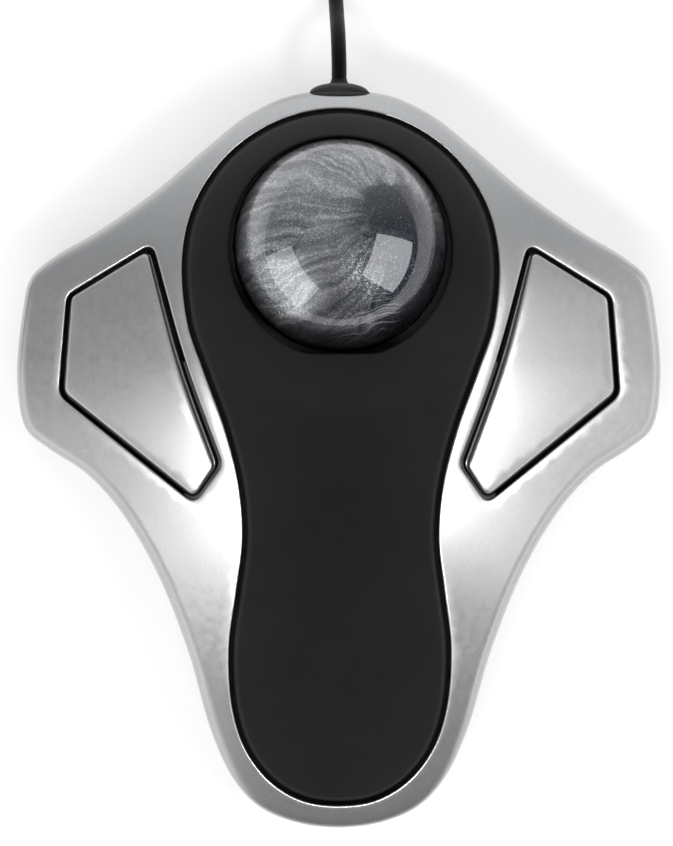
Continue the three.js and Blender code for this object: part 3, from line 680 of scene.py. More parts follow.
def charcoal_plastic():
    """The grey-black of the rib beside a key, and of the key's sides, where it is painted shade."""
    return moulded(
        "charcoal_plastic", (120, 4), (0.040, 0.040, 0.042), (0.055, 0.055, 0.057),
        (800, 4), 0.34, 0.48, (3000, 3), 0.12, 0.04, Specular_IOR_Level=0.5,
    )


def rubber():
    return moulded(
        "black_rubber", (120, 5), (0.011, 0.011, 0.0115), (0.017, 0.017, 0.018),
        (500, 4), 0.55, 0.72, (4200, 4, 0.6), 0.2, 0.05,
        Specular_IOR_Level=0.35, Sheen_Weight=0.05, Sheen_Roughness=0.6,
    )


def jacket():
    """The cable's vinyl, smoother than the rubber."""
    return moulded(
        "cable_jacket", (150, 4), (0.006, 0.006, 0.0065), (0.01, 0.01, 0.011),
        (800, 4), 0.38, 0.5, (2500, 3), 0.12, 0.04, Specular_IOR_Level=0.15,
    )


def steel():
    """Brushed along X."""
    s = Surface("steel", Metallic=1.0)
    along = s.noise(2200, 4, 0.6, place=s.stretched(0.06, 1, 1))
    s.tones(s.noise(160, 3), (0.56, 0.565, 0.58), (0.66, 0.665, 0.68))
    s.gloss(along, 0.2, 0.36)
    s.relief(along, 0.08, 0.03)
    return s.material


def gold():
    return moulded(
        "contact_gold", (400, 3), (0.78, 0.53, 0.2), (0.88, 0.63, 0.27),
        (1500, 3), 0.2, 0.34, (3000, 2), 0.05, 0.02, Metallic=1.0,
    )


def circuit_board():
    """Green solder mask over copper tracks, with drilled pads."""
    s = Surface("circuit_board", Specular_IOR_Level=0.5, Coat_Weight=0.3, Coat_Roughness=0.15)
    lanes = s.cells(420, feature="DISTANCE_TO_EDGE", place=s.stretched(1, 1, 0.01))
    track = s.spread(lanes, 0.06, 0.09, 1, 0)
    green = s.mix(track, (0.012, 0.075, 0.032), (0.03, 0.16, 0.065))
    dots = s.cells(300, place=s.stretched(1, 1, 0.01))
    s.set(Base_Color=s.mix(s.spread(dots, 0.10, 0.13, 1, 0), green, (0.6, 0.55, 0.42)))
    s.gloss(s.noise(800, 3), 0.3, 0.45)
    s.relief(s.math("ADD", track, s.noise(1500, 2)), 0.3, 0.04)
    return s.material


def clear_plastic():
    return moulded(
        "clear_plastic", (90, 2), (0.80, 0.86, 0.90), (0.88, 0.92, 0.95),
        (900, 3), 0.05, 0.12, (1800, 2), 0.04, 0.03, Transmission_Weight=0.85, IOR=1.49,
    )


def red_plastic():
    return moulded(
        "red_plastic", (140, 3), (0.26, 0.012, 0.01), (0.36, 0.02, 0.016),
        (900, 3), 0.18, 0.3, (2400, 2), 0.06, 0.03,
        Transmission_Weight=0.25, IOR=1.5, Specular_IOR_Level=0.5,
    )


def white_plastic():
    return moulded(
        "white_plastic", (110, 3), (0.72, 0.71, 0.66), (0.79, 0.78, 0.74),
        (800, 3), 0.38, 0.52, (3600, 3), 0.12, 0.04, Specular_IOR_Level=0.45,
    )


def ceramic():
    return moulded(
        "ceramic", (300, 3), (0.8, 0.79, 0.76), (0.87, 0.86, 0.83),
        (1200, 3), 0.1, 0.2, (4000, 2), 0.04, 0.02,
        Specular_IOR_Level=0.6, Coat_Weight=0.4, Coat_Roughness=0.05,
    )


def label_silver():
    """A satin blank label with a printed border line."""
    s = Surface("label_grey", Metallic=0.3, Specular_IOR_Level=0.4)
    x, y, _ = s.node("ShaderNodeSeparateXYZ", {"Vector": s.place}).outputs
    end = s.math("ABSOLUTE", s.math("ADD", y, -LABEL_Y * MM))
    end = s.math("ADD", end, (LABEL_BORDER_X - LABEL_BORDER_Y) * MM)
    out = s.math("MAXIMUM", s.math("ABSOLUTE", x), end)
    line = s.math("COMPARE", out, LABEL_BORDER_X * MM, 0.2 * MM)
    paper = s.ramp(s.noise(200, 4), [(0.3, (0.46, 0.47, 0.48)), (0.7, (0.54, 0.55, 0.56))])
    s.set(Base_Color=s.mix(line, paper, (0.06, 0.06, 0.065)))
    s.gloss(s.noise(1200, 3), 0.42, 0.55)
    s.relief(s.noise(3000, 3), 0.08, 0.03)
    return s.material


def hook_tape():
    """Woven tape with a nap of short loops."""
    s = Surface("hook_tape", Specular_IOR_Level=0.2, Sheen_Weight=0.35, Sheen_Roughness=0.5)
    loops = s.cells(2600, feature="SMOOTH_F1")
    s.set(Base_Color=s.ramp(loops, [(0.1, (0.03, 0.03, 0.032)), (0.7, (0.009, 0.009, 0.01))]))
    s.gloss(s.noise(900, 4), 0.75, 0.92)
    s.relief(s.math("ADD", loops, s.noise(5000, 3)), 0.7, 0.15)
    return s.material


def scratches(s, bent, unit):
    """Thin pale lines side by side, low on the ball's right."""
    across = s.scalar("DOT_PRODUCT", bent, (0.33, -0.94, 0))
    inputs = {"W": across, "Scale": 55.0, "Detail": 2.0}
    lines = s.node("ShaderNodeTexNoise", inputs, noise_dimensions="1D").outputs["Fac"]
    fine = s.spread(lines, 0.57, 0.65)
    far = s.scalar("DISTANCE", unit, (0.22, -0.74, 0.63))
    return s.math("MULTIPLY", fine, s.spread(far, 0.2, 0.46, 1.0, 0.0, True))


def marbled_ball():
    """Pearly swirls that stream from one side of the ball, with glitter and painted shade, under a clear
    skin.
    """
    s = Surface("marbled_ball", Specular_IOR_Level=0.3)
    s.set(Coat_Weight=1.0, Coat_Roughness=0.015, Coat_IOR=1.7)
    unit = s.vector("NORMALIZE", s.vector("ADD", s.place, tuple(-c * MM for c in BALL_CENTRE)))
    warp = s.node("ShaderNodeTexNoise", {"Vector": unit, "Scale": 2.2, "Detail": 2.0}).outputs["Color"]
    bent = s.vector("MULTIPLY_ADD", warp, (0.3, 0.3, 0.3), unit)
    pole = Vector(MARBLE_POLE).rotation_difference(Vector((0, 0, 1))).to_euler()
    inputs = {"Vector": bent, "Rotation": pole}
    turned = s.node("ShaderNodeVectorRotate", inputs, rotation_type="EULER_XYZ").outputs[0]
    x, y, z = s.node("ShaderNodeSeparateXYZ", {"Vector": turned}).outputs
    flat = s.node("ShaderNodeCombineXYZ", {0: x, 1: y}).outputs[0]
    radial = s.vector("SCALE", s.vector("NORMALIZE", flat), scale=5.0)
    along = s.node("ShaderNodeCombineXYZ", {2: s.math("MULTIPLY", z, 0.5)}).outputs[0]
    streaks = s.noise(2.2, 6, 0.6, 0.2, place=s.vector("ADD", radial, along))
    clouds = s.noise(2.6, 4, 0.55, 0.6, place=unit)
    tones = [(0.34, (0.11, 0.115, 0.127)), (0.5, (0.26, 0.268, 0.28)), (0.66, (0.47, 0.477, 0.485))]
    pearl = s.ramp(streaks, tones)
    ragged = s.math("MULTIPLY", s.math("SUBTRACT", clouds, 0.5), 0.5)
    # Tone that differs at random, then darkened below with painted shade on the ball's dim right side and
    # under the cover
    light = s.spread(clouds, 0.35, 0.65, 0.75, 1.0)
    for at, radius, soft, least in BALL_PAINTED_SHADE:
        edge = s.math("ADD", s.scalar("DISTANCE", unit, at), ragged)
        light = s.math("MULTIPLY", light, s.spread(edge, radius - soft, radius + soft, least, 1.0, True))
    flakes = s.cells(5000, output="Color")
    spark, hue, kind = s.node("ShaderNodeSeparateColor", {"Color": flakes}).outputs
    glitter = s.spread(s.math("POWER", spark, 3.0), 0, 1, 0.7, 1.8)
    base = s.vector("SCALE", s.mix(light, (0.013, 0.015, 0.023), pearl), scale=glitter)
    base = s.mix(s.spread(hue, 0.86, 1.0, 0.0, 0.2), base, (0.5, 0.56, 0.66))
    s.set(Base_Color=s.mix(s.math("MULTIPLY", scratches(s, bent, unit), 0.6), base, (0.6, 0.62, 0.66)))
    s.set(Metallic=s.spread(kind, 0, 1, 0.92, 1.0))
    s.gloss(s.noise(500, 3), 0.32, 0.42)
    facing = s.node("ShaderNodeNewGeometry").outputs["Normal"]
    tilt = s.vector("MULTIPLY_ADD", s.vector("SUBTRACT", flakes, (0.5, 0.5, 0.5)), (0.2, 0.2, 0.2), facing)
    s.set(Normal=s.vector("NORMALIZE", tilt))
    return s.material


SILVER, SOFT_BLACK, BLACK, RUBBER = silver_paint(), soft_black(), black_plastic(), rubber()
CHARCOAL = charcoal_plastic()
JACKET, STEEL, GOLD, BOARD = jacket(), steel(), gold(), circuit_board()
CLEAR, RED, WHITE, CERAMIC = clear_plastic(), red_plastic(), white_plastic(), ceramic()
LABEL, TAPE, MARBLE = label_silver(), hook_tape(), marbled_ball()
BY_SLOT = {
    "silver_paint": SILVER, "soft_black": SOFT_BLACK, "black_plastic": BLACK, "marbled_ball": MARBLE,
    "black_rubber": RUBBER, "steel": STEEL, "circuit_board": BOARD, "clear_plastic": CLEAR,
    "red_plastic": RED, "white_plastic": WHITE, "ceramic": CERAMIC, "label_grey": LABEL,
}


def dress_cad_nodes():
    """Gives every CAD node the procedural material of its slot."""
    for part in frame["record"]["subparts"]:
        mesh = frame["nodes"][part["node"]].data
        mesh.materials.clear()
        mesh.materials.append(BY_SLOT[part["material_slot"]])


dress_cad_nodes()

# ---- cord: cable, coil, tie and plug

# Straight out of the grommet, down to the desk, then a left turn into the coil
CABLE_ROUTE = [
    CABLE_EXIT, (0, 74.4, 14.4), (0, 75.8, 14.4), (-0.05, 78.3, 14), (-0.1, 80.6, 12.9),
    (-0.15, 82.6, 11.2), (-0.2, 84.2, 9.2), (-0.25, 85.8, 7), (-0.3, 87.6, 4.9),
    (-0.4, 89.8, 3), (-0.6, 92.3, 1.85),
    (-1.3, 95, 1.5), (-2.8, 97.6, 1.5), (-5, 99.9, 1.6), (-7.7, 101.35, 1.75),
]
# Off the top of the coil and down into the plug
TAIL_ROUTE = [
    (x, PLUG_Y, z)
    for x, z in (
        (-7, 10.95), (-3.5, 10.85), (0, 10.4), (3.4, 9.5), (6, 8.4),
        (9, 6.9), (12, 5.5), (15, 4.5), (17.4, 4.15), (20.5, PLUG_Z),
    )
]
COLUMNS, LAYERS = 4, 4
COIL_LOW_Z = 2.45  # of the lowest turn's middle, where it lies on the tie
COIL_REACH = 24  # from the coil's middle to its outside
COIL_TILT = 0.9  # the far side rests this much lower, on the desk
CHANGE_START, CHANGE_END = 0.75, 0.9  # the part of a turn where the cable moves one column over
RISE_START, RISE_END = 0.5, 0.75  # where it climbs to the next layer


def ease(value):
    value = min(1, max(0, value))
    return value * value * (3 - 2 * value)


def coil_height(x):
    """How far the coil's slant lowers it at x."""
    return COIL_TILT * (x - (COIL_X - COIL_REACH)) / (2 * COIL_REACH)


def coil_points(per_turn=40):
    """Turns beside and on each other, wound inwards and outwards layer by layer."""
    out, back = range(COLUMNS), range(COLUMNS)[::-1]
    columns = [column for layer in range(LAYERS) for column in (out if layer % 2 else back)]
    count = int((COLUMNS * LAYERS - 0.5) * per_turn)
    points = []
    for i in range(1, count + 1):
        turned = i / per_turn
        lap, part = int(turned), turned % 1
        # A lap runs from south to west, north and east, and changes column on its way back to the south
        here = columns[min(lap, len(columns) - 1)]
        after = columns[min(lap + 1, len(columns) - 1)]
        layer = lap // COLUMNS
        change = ease((part - CHANGE_START) / (CHANGE_END - CHANGE_START))
        column = here + (after - here) * change
        climbs = (lap + 1) % COLUMNS == 0 and lap + 1 < len(columns)
        climb = ease((part - RISE_START) / (RISE_END - RISE_START)) if climbs else 0
        radius = COIL_RADIUS + COIL_PITCH * (column - (COLUMNS - 1) / 2)
        angle = -math.pi / 2 - turned * 2 * math.pi
        x = COIL_X + radius * math.cos(angle)
        y = COIL_Y + radius * math.sin(angle)
        z = COIL_LOW_Z + COIL_PITCH * (layer + climb) - coil_height(x)
        points.append((x, y, z))
    return points


def cord_line():
    """Every point of the cable's middle, from the grommet to the plug, in millimetres."""
    into = spline(CABLE_ROUTE, closed=False, steps=3)
    out = spline(TAIL_ROUTE, closed=False, steps=3)
    return np.vstack([into, coil_points(), out])


def unmirrored(*names):
    """Keeps pieces out of every reflection, so that the ball mirrors a bare desk."""
    for name in names:
        bpy.data.objects[name].visible_glossy = False


def cable():
    points = cord_line() * MM
    curve = bpy.data.curves.new("cable_full", "CURVE")
    curve.dimensions = "3D"
    curve.bevel_depth = CABLE_RADIUS * MM
    curve.bevel_resolution = 3
    curve.use_fill_caps = True
    line = curve.splines.new("POLY")
    line.points.add(len(points) - 1)
    line.points.foreach_set("co", np.column_stack([points, np.ones(len(points))]).ravel())
    line.use_smooth = True
    curve.materials.append(JACKET)
    piece = in_scene("cable_full", curve)
    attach(piece, CASE)
    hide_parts("cable", "cable_tail", "cable_coil")
    return piece


def rounded_section(half_width, half_height, reach, corner_steps=6, edge_steps=2):
    signs = [(1, 1), (-1, 1), (-1, -1), (1, -1)]
    corners = [(a * half_width, b * half_height, reach) for a, b in signs]
    return rounded_polygon(corners, corner_steps, edge_steps)


# The tie: half the inside of its loop, the tape's thickness and width, and the loop's middle
TIE_HALF, TAPE_THICKNESS, TAPE_WIDTH = 6.05, 0.75, 6
TIE_X, TIE_Z = COIL_X - COIL_RADIUS, 0.1 + TAPE_THICKNESS + TIE_HALF


def tape_loop():
    """A strap of hook tape round the coil's section."""
    lap = rounded_section(TIE_HALF, TIE_HALF, 1.8, 6, 10)
    shape = Shape()
    bands = []
    for grown, side in ((0, -1), (TAPE_THICKNESS, -1), (TAPE_THICKNESS, 1), (0, 1)):
        outline = inset(lap, -grown)
        y = np.full(len(outline), COIL_Y + side * TAPE_WIDTH / 2)
        bands.append(shape.loop(np.column_stack([TIE_X + outline[:, 0], y, TIE_Z + outline[:, 1]])))
    shape.bridges([*bands, bands[0]])
    return shape


def lap_end():
    """The loose end: a short length of tape that lies on top and lifts a little at its tip."""
    shape = Shape()
    rows = []
    steps = 14
    for i in range(steps + 1):
        t = i / steps
        x = TIE_X + TIE_HALF - 2.2 - 8.6 * t
        lift = 0.02 + 0.35 * max(0, t - 0.6) ** 2 * 6
        z = TIE_Z + TIE_HALF + TAPE_THICKNESS + lift
        taper = 1 - 0.25 * max(0, t - 0.85) / 0.15
        y = TAPE_WIDTH / 2 * taper
        corners = ((-y, 0), (y, 0), (y, 0.35), (-y, 0.35))
        rows.append([(x, COIL_Y + across, z + up * TAPE_THICKNESS) for across, up in corners])
    shape.solid([shape.loop(row) for row in rows])
    return shape


def merged(shapes, name):
    """One mesh from several closed shapes."""
    whole = Shape()
    for shape in shapes:
        start = len(whole.points)
        whole.points.extend(shape.points)
        for face, mark in zip(shape.faces, shape.marks):
            whole.add(tuple(start + i for i in face), mark)
    return whole.mesh(name)


def along_x(section, x):
    """A section in width and height, stood across X on the plug's middle line."""
    return np.column_stack([np.full(len(section), x), PLUG_Y + section[:, 0], PLUG_Z + section[:, 1]])


# Distance from the cable's side, half width, half height and how round the section is
PLUG_STATIONS = [
    (8.6, 2.9, 2.9, 1.0), (9.0, 5.2, 3.1, 0.6), (9.5, 6.1, 3.35, 0.45), (10.6, 6.4, 3.45, 0.42),
    (11.2, 7.1, 3.8, 0.4), (12.2, 7.65, 3.98, 0.38), (14, 7.8, 4, 0.38), (24, 7.8, 4, 0.38),
    (26.8, 7.75, 3.98, 0.38), (27.6, 7.55, 3.85, 0.38), (27.95, 7.1, 3.45, 0.38), (28, 6.7, 3.1, 0.38),
]
GRIP_START, GRIP_PITCH = 15.2, 2  # the finger grips across the broad sides


def plug_body():
    """Overmould with a ribbed relief, a shoulder, and finger grips on both broad sides."""
    shape = Shape()
    stations = [(0, 1.86, 1.86, 1.0)]
    for i in range(7):
        x = 0.6 + i * 1.1
        wide = 1.95 + 0.13 * i
        stations += [(x, wide, wide, 1.0), (x + 0.55, wide, wide, 1.0)]
        stations += [(x + 0.65, wide - 0.3, wide - 0.3, 1.0), (x + 1.0, wide - 0.26, wide - 0.26, 1.0)]
    stations += PLUG_STATIONS
    rings = []
    for x, wide, high, round_share in stations:
        reach = min(wide, high) * (1.0 if round_share == 1.0 else round_share * 1.4)
        section = rounded_section(wide, high, reach, 8, 3)
        if round_share == 1.0:
            angles = np.arctan2(section[:, 1], section[:, 0])
            section = wide * np.column_stack([np.cos(angles), np.sin(angles)])
        rings.append(shape.loop(along_x(section, PLUG_START + x)))
    shape.solid(rings)
    grooves = []
    section = rounded_section(0.45, 0.45, 0.45, 4, 1)
    for side in (-1, 1):
        for i in range(5):
            x = PLUG_START + GRIP_START + GRIP_PITCH * i
            z = PLUG_Z + side * 4.15
            half = 4.6 - 0.3 * abs(i - 2)
            ends = [[(x + a, PLUG_Y + y, z + b) for a, b in section] for y in (-half, half)]
            groove = Shape()
            groove.solid([groove.loop(end) for end in ends])
            grooves.append(groove)
    return carve(shape.mesh("plug"), removed=grooves)


def plug_shell():
    """The plated sleeve: hollow, with two windows above and below and a folded seam."""
    wall = 0.4
    shape = Shape()
    outer, inner = rounded_section(6, 2.25, 0.7), rounded_section(6 - wall, 2.25 - wall, 0.4)
    stations = [(outer, 0), (outer, 11.75), (rounded_section(5.86, 2.1, 0.6), 12), (inner, 12), (inner, 0)]
    rings = [shape.loop(along_x(section, PLUG_FACE + x)) for section, x in stations]
    shape.bridges([*rings, rings[0]])
    cuts = []
    for side in (-1, 1):
        for y in (-2.9, 2.9):
            window = (PLUG_FACE + 5.2, PLUG_Y + y - 1.25), (PLUG_FACE + 7.7, PLUG_Y + y + 1.25)
            middle = PLUG_Z + side * 2
            cuts.append(block((*window[0], middle - 0.45), (*window[1], middle + 0.45)))
    low = (PLUG_FACE - 1, PLUG_Y - 0.04, PLUG_Z - 2.5)
    seam = block(low, (PLUG_FACE + 13, PLUG_Y + 0.04, PLUG_Z - 1.95))
    return carve(shape.mesh("sleeve"), removed=[*cuts, seam])


def plug_tongue():
    """The white tongue, with four gold contacts let into its lower face."""
    shape = Shape()
    raised = 0.65
    middle = PLUG_Z + raised
    rings = []
    for x, wide, high in ((0, 5.3, 0.9), (10.5, 5.3, 0.9), (11, 5.1, 0.65)):
        section = rounded_section(wide, high, 0.2) + (0, raised)
        rings.append(shape.loop(along_x(section, PLUG_FACE + x)))
    shape.solid(rings)
    contacts = []
    for y, start in ((-3.5, 2), (-1, 3), (1, 3), (3.5, 2)):
        low = (PLUG_FACE + start, PLUG_Y + y - 0.5, middle - 1.0)
        contact = block(low, (PLUG_FACE + 10.2, PLUG_Y + y + 0.5, middle - 0.75))
        contact.marks = [1] * len(contact.marks)
        contacts.append(contact)
    return merged([shape, *contacts], "tongue")


def build_cord():
    line = cable()
    strap = merged([tape_loop(), lap_end()], "tie")
    tie = place_piece("tie_tape", strap, [TAPE], CASE, ["cable_tie"])
    body = place_piece("plug_grip", plug_body(), [BLACK], CASE, ["usb_plug_body"], 28)
    sleeve = place_piece("plug_sleeve", plug_shell(), [STEEL], CASE, ["usb_plug_shell"])
    replaced = ["usb_plug_tongue"]
    tongue = place_piece("plug_contacts", plug_tongue(), [WHITE, GOLD], CASE, replaced)


build_cord()

# ---- camera, floor and light


CAMERA_PLACE, CAMERA_TARGET, CAMERA_LENS = (-17, 7, 800), (-0.2, 7, 0), 173.6
FLOOR_REACH = 1500
BALL, DARK = {"marbled_ball"}, {"marbled_ball", "palm_cover", "cable_full", "cable_boot"}
# Name, azimuth, elevation, half width, half height (all in degrees) and radiance of each light, then
# a few pieces, and whether the light is for these alone (True) or for all the others (False)
LIGHTS = [
    ("softbox_left", -151, 20, 31, 17, 1.13, BALL, False),
    ("softbox_right", -15, 20, 34, 15, 1.18, BALL, False),
    ("key_right", -16, 58, 9.3, 4.7, 18.5, DARK, False),
    ("key", -114, 65, 25, 4.7, 16.5, DARK, False),
    ("ball_left", -148, 20, 26, 20, 2.6, BALL, True),
    ("ball_right", -19, 33, 24, 24, 3.8, BALL, True),
    ("ball_top", -120, 80, 40, 30, 0.42, BALL, True),
]


def aim(piece, back, up):
    """Turns a camera or light so that its Z axis points back, with its Y axis near up."""
    back = Vector(back).normalized()
    right = Vector(up).cross(back).normalized()
    piece.rotation_euler = Matrix((right, back.cross(right), back)).transposed().to_euler()


def camera():
    """High above the desk, a little to the left, as the photograph was taken."""
    data = bpy.data.cameras.new("camera")
    data.sensor_width = 36
    data.lens = CAMERA_LENS
    data.clip_start, data.clip_end = 0.05, 10
    piece = in_scene("camera", data)
    piece.location = Vector(CAMERA_PLACE) * MM
    aim(piece, piece.location - Vector(CAMERA_TARGET) * MM, (0, 1, 0))
    bpy.context.scene.camera = piece


def floor_material():
    s = Surface("pale_floor", Specular_IOR_Level=0.2, Emission_Strength=0.62)
    s.tones(s.noise(9, 3), 0.36, 0.38)
    s.gloss(s.noise(40, 3), 0.75, 0.85)
    return s.material


def floor():
    shape = Shape()
    signs = ((-1, -1), (1, -1), (1, 1), (-1, 1))
    shape.cap(shape.loop([(FLOOR_REACH * x, FLOOR_REACH * y, 0) for x, y in signs]))
    piece = in_scene("floor", shape.mesh("floor"))
    piece.data.materials.append(floor_material())


def softbox(name, azimuth, elevation, half_width, half_height, radiance):
    """A square light a metre away that faces the middle of the case."""
    data = bpy.data.lights.new(name, "AREA")
    data.shape = "RECTANGLE"
    data.size = 2 * math.tan(math.radians(half_width))
    data.size_y = 2 * math.tan(math.radians(half_height))
    data.energy = radiance * math.pi * data.size * data.size_y
    piece = in_scene(name, data)
    turn, rise = math.radians(azimuth), math.radians(elevation)
    piece.location = (math.cos(rise) * math.cos(turn), math.cos(rise) * math.sin(turn), math.sin(rise))
    aim(piece, piece.location, (0, 0, 1))
    return piece


def shine_on(light, names, chosen):
    """Lights only the named pieces, or all the others."""
    lit = bpy.data.collections.new("lit_by_" + light.name)
    for piece in bpy.context.scene.objects:
        if piece.type in ("MESH", "CURVE") and (piece.name in names) == chosen:
            lit.objects.link(piece)
    light.light_linking.receiver_collection = lit


def room():
    """A pale wall beyond the cable; seen directly, the room is as pale as the floor all round."""
    world = bpy.data.worlds.new("studio")
    nodes = Nodes(world)
    place = nodes.node("ShaderNodeTexCoord").outputs["Generated"]
    ahead = nodes.node("ShaderNodeSeparateXYZ", {0: place}).outputs[1]
    wall = nodes.spread(ahead, 0, 1, 0.03, 1.05)
    seen = nodes.node("ShaderNodeLightPath").outputs["Is Camera Ray"]
    shown = nodes.node("ShaderNodeMix", {"Factor": seen, "A": wall, "B": 0.93})
    background = nodes.tree.nodes["Background"]
    nodes.feed(background.inputs["Strength"], shown.outputs["Result"])
    nodes.feed(background.inputs["Color"], (0.96, 0.98, 1, 1))
    bpy.context.scene.world = world
    bpy.context.scene.view_settings.view_transform = "Standard"


def lights():
    for *box, names, chosen in LIGHTS:
        shine_on(softbox(*box), names, chosen)


camera()
floor()
unmirrored("cable_full", "tie_tape", "plug_grip", "plug_sleeve")

# ---- casings

RIM_STEPS = (0, 0.03, 0.12, 0.3, 0.6, 1.0, 1.6, 2.4, 3.4, 4.6)
LIP = 0.35  # rounding of the shell's openings
COVER_EDGE = 1.0


def lips(shape, loop, radius, bottom):
    """A rounded lip and the wall under it; returns the lip's top ring and the wall's last."""
    rings = shape.insets(loop, [(-out, below(drop)) for out, drop in arc(radius)])[::-1]
    rings.append(shape.ring(loop, bottom))
    shape.bridges(rings)
    return rings[0], rings[-1]


def grommet_space(radius):
    return lathe([(0, 58), (radius, 58), (radius, 80), (0, 80)], 64, along_cable())


def along_cable():
    """Turns Z into the cable's direction out of the case."""
    return Matrix.Translation((0, 0, CABLE_EXIT[2])) @ Matrix.Rotation(-math.pi / 2, 4, "X")


def top_shell():
    shape = Shape()
    room = np.minimum(1, (distance_to(COVER_OPENING, CASE_LOOP) - 1) / RIM_STEPS[-1])
    rims = shape.insets(CASE_LOOP, [(d * room, below(0)) for d in RIM_STEPS])
    openings = [rounded_polygon(on_side(OPENING_CORNERS, side)) for side in (-1, 1)]
    edges = [lips(shape, loop, LIP, below(WALL)) for loop in (COVER_OPENING, *openings)]
    shape.sheet([rims[-1], *(top for top, _ in edges)], below(0), 1.5)
    sides = shape.insets(CASE_LOOP, [
        (0, PARTING_Z + 0.4), (0.1, PARTING_Z + 0.12), (0.35, PARTING_Z), (WALL, PARTING_Z),
        (WALL, below(WALL)),
    ])
    shape.bridges(rims[::-1] + sides)
    shape.sheet([sides[-1], *(bottom for _, bottom in edges)], below(WALL), 3)
    bosses, bores = [], []
    for x, y, radius, _ in CASE_SCREWS:
        top = lowest_skin_over(x, y, radius)
        bosses.append(cylinder(radius, PARTING_Z, top - WALL / 2, x, y, 24))
        bores.append(cylinder(SCREW_BORE, PARTING_Z - 1, min(PARTING_Z + 8, top - WALL), x, y, 20))
    mesh = carve(shape.mesh("shell"), bosses, [*bores, grommet_space(GROMMET_RADIUS + GAP / 2)])
    place_piece("top_casing", mesh, [SILVER], CASE, ["top_shell"], 40)


def center_cover():
    shape = Shape()
    edge = shape.insets(COVER_LOOP, [(into, below(drop)) for into, drop in arc(COVER_EDGE, 6)])[::-1]
    hole, collar = ball_hole(), ball_hole(COLLAR_WALL)
    lip_top, lip_low = lips(shape, hole, 0.5, COLLAR_BOTTOM)
    shape.sheet([edge[0], lip_top], below(0), 1.4)
    thickness, flange = 2.2, -COVER_GROOVE - 0.8
    steps = ((0, 2.6), (flange, 2.6), (flange, 4), (2.2, 4), (2.2, thickness))
    sides = shape.insets(COVER_LOOP, [(into, below(depth)) for into, depth in steps])
    shape.bridges(edge + sides)
    collar_low = shape.ring(collar, COLLAR_BOTTOM)
    collar_top = shape.ring(collar, below(thickness))
    shape.bridges([lip_low, collar_low, collar_top])
    shape.sheet([sides[-1], collar_top], below(thickness), 3)
    posts = [cylinder(radius + GAP, 0, 40, x, y, 24) for x, y, radius, _ in CASE_SCREWS]
    mesh = carve(shape.mesh("cover"), removed=[*posts, grommet_space(GROMMET_RADIUS + 1.4)])
    place_piece("palm_cover", mesh, [SOFT_BLACK], CASE, ["center_cover"], 40)


def base_shell():
    """The tray under the case, with its posts, and recesses for screws, feet and the label."""
    shape = Shape()
    steps = [
        (3, FOOT_HEIGHT), (2.2, FOOT_HEIGHT + 0.25), (1.55, FOOT_HEIGHT + 0.75), (1.15, FOOT_HEIGHT + 1.4),
        (0.85, PARTING_Z - 1.6), (0.7, PARTING_Z - GAP - 0.15), (0.85, PARTING_Z - GAP),
        (2.4, PARTING_Z - GAP), (2.4, PARTING_Z + 1.2), (3.7, PARTING_Z + 1.2), (3.7, FLOOR_TOP),
    ]
    shape.solid(shape.insets(CASE_LOOP, steps))
    foot = FLOOR_TOP - 0.5
    posts = [cylinder(3, foot, PARTING_Z - GAP, x, y) for x, y, _, _ in CASE_SCREWS]
    posts += [cylinder(3, foot, SOCKET_POST_TOP, x, y) for x, y in SOCKET_SCREWS]
    posts += [cylinder(2.4, foot, BOARD_POST_TOP, x, y) for x, y in BOARD_SCREWS + SWITCH_POSTS]
    cuts = []
    for x, y, radius, _ in CASE_SCREWS:
        cuts += [cylinder(2.6, 0, 2.6, x, y), cylinder(SCREW_BORE, 2, PARTING_Z, x, y)]
        cuts.append(cylinder(radius + GAP, PARTING_Z - GAP, 9, x, y))
    cuts += [cylinder(SOCKET_BORE, 9, 18, x, y) for x, y in SOCKET_SCREWS]
    cuts += [cylinder(BOARD_BORE, FLOOR_TOP, 4.5, x, y) for x, y in BOARD_SCREWS]
    cuts += [cylinder(FOOT_RADIUS + GAP, 0, FOOT_HEIGHT + 1, x, y, 64) for x, y in FEET]
    cuts.append(prism(label_outline(GAP), 0, FOOT_HEIGHT + 0.6))
    mesh = carve(shape.mesh("base"), posts, cuts)
    place_piece("base_tray", mesh, [BLACK], CASE, ["base_shell"], 32)


def label_outline(grown):
    corners = [
        (x + math.copysign(grown, x), y + math.copysign(grown, y - LABEL_Y), 2 + grown)
        for x, y in LABEL_CORNERS
    ]
    return rounded_polygon(corners, 6, 3)


def label():
    shape = prism(label_outline(0), FOOT_HEIGHT, FOOT_HEIGHT + 0.3)
    place_piece("label_plate", shape.mesh("label"), [LABEL], CASE, ["blank_label"])


def feet():
    top = FOOT_HEIGHT + 0.7
    profile = [
        (0, 0.05), (3.4, 0.05), (3.7, 0), (4.2, 0), (4.6, 0.1), (4.86, 0.32),
        (FOOT_RADIUS, 0.65), (FOOT_RADIUS, top), (0, top),
    ]
    for i, (x, y) in enumerate(FEET, 1):
        mesh = lathe(profile, 64, upright(x, y)).mesh("foot")
        place_piece(f"foot_pad_{i}", mesh, [RUBBER], CASE, [f"rubber_foot_{i}"])


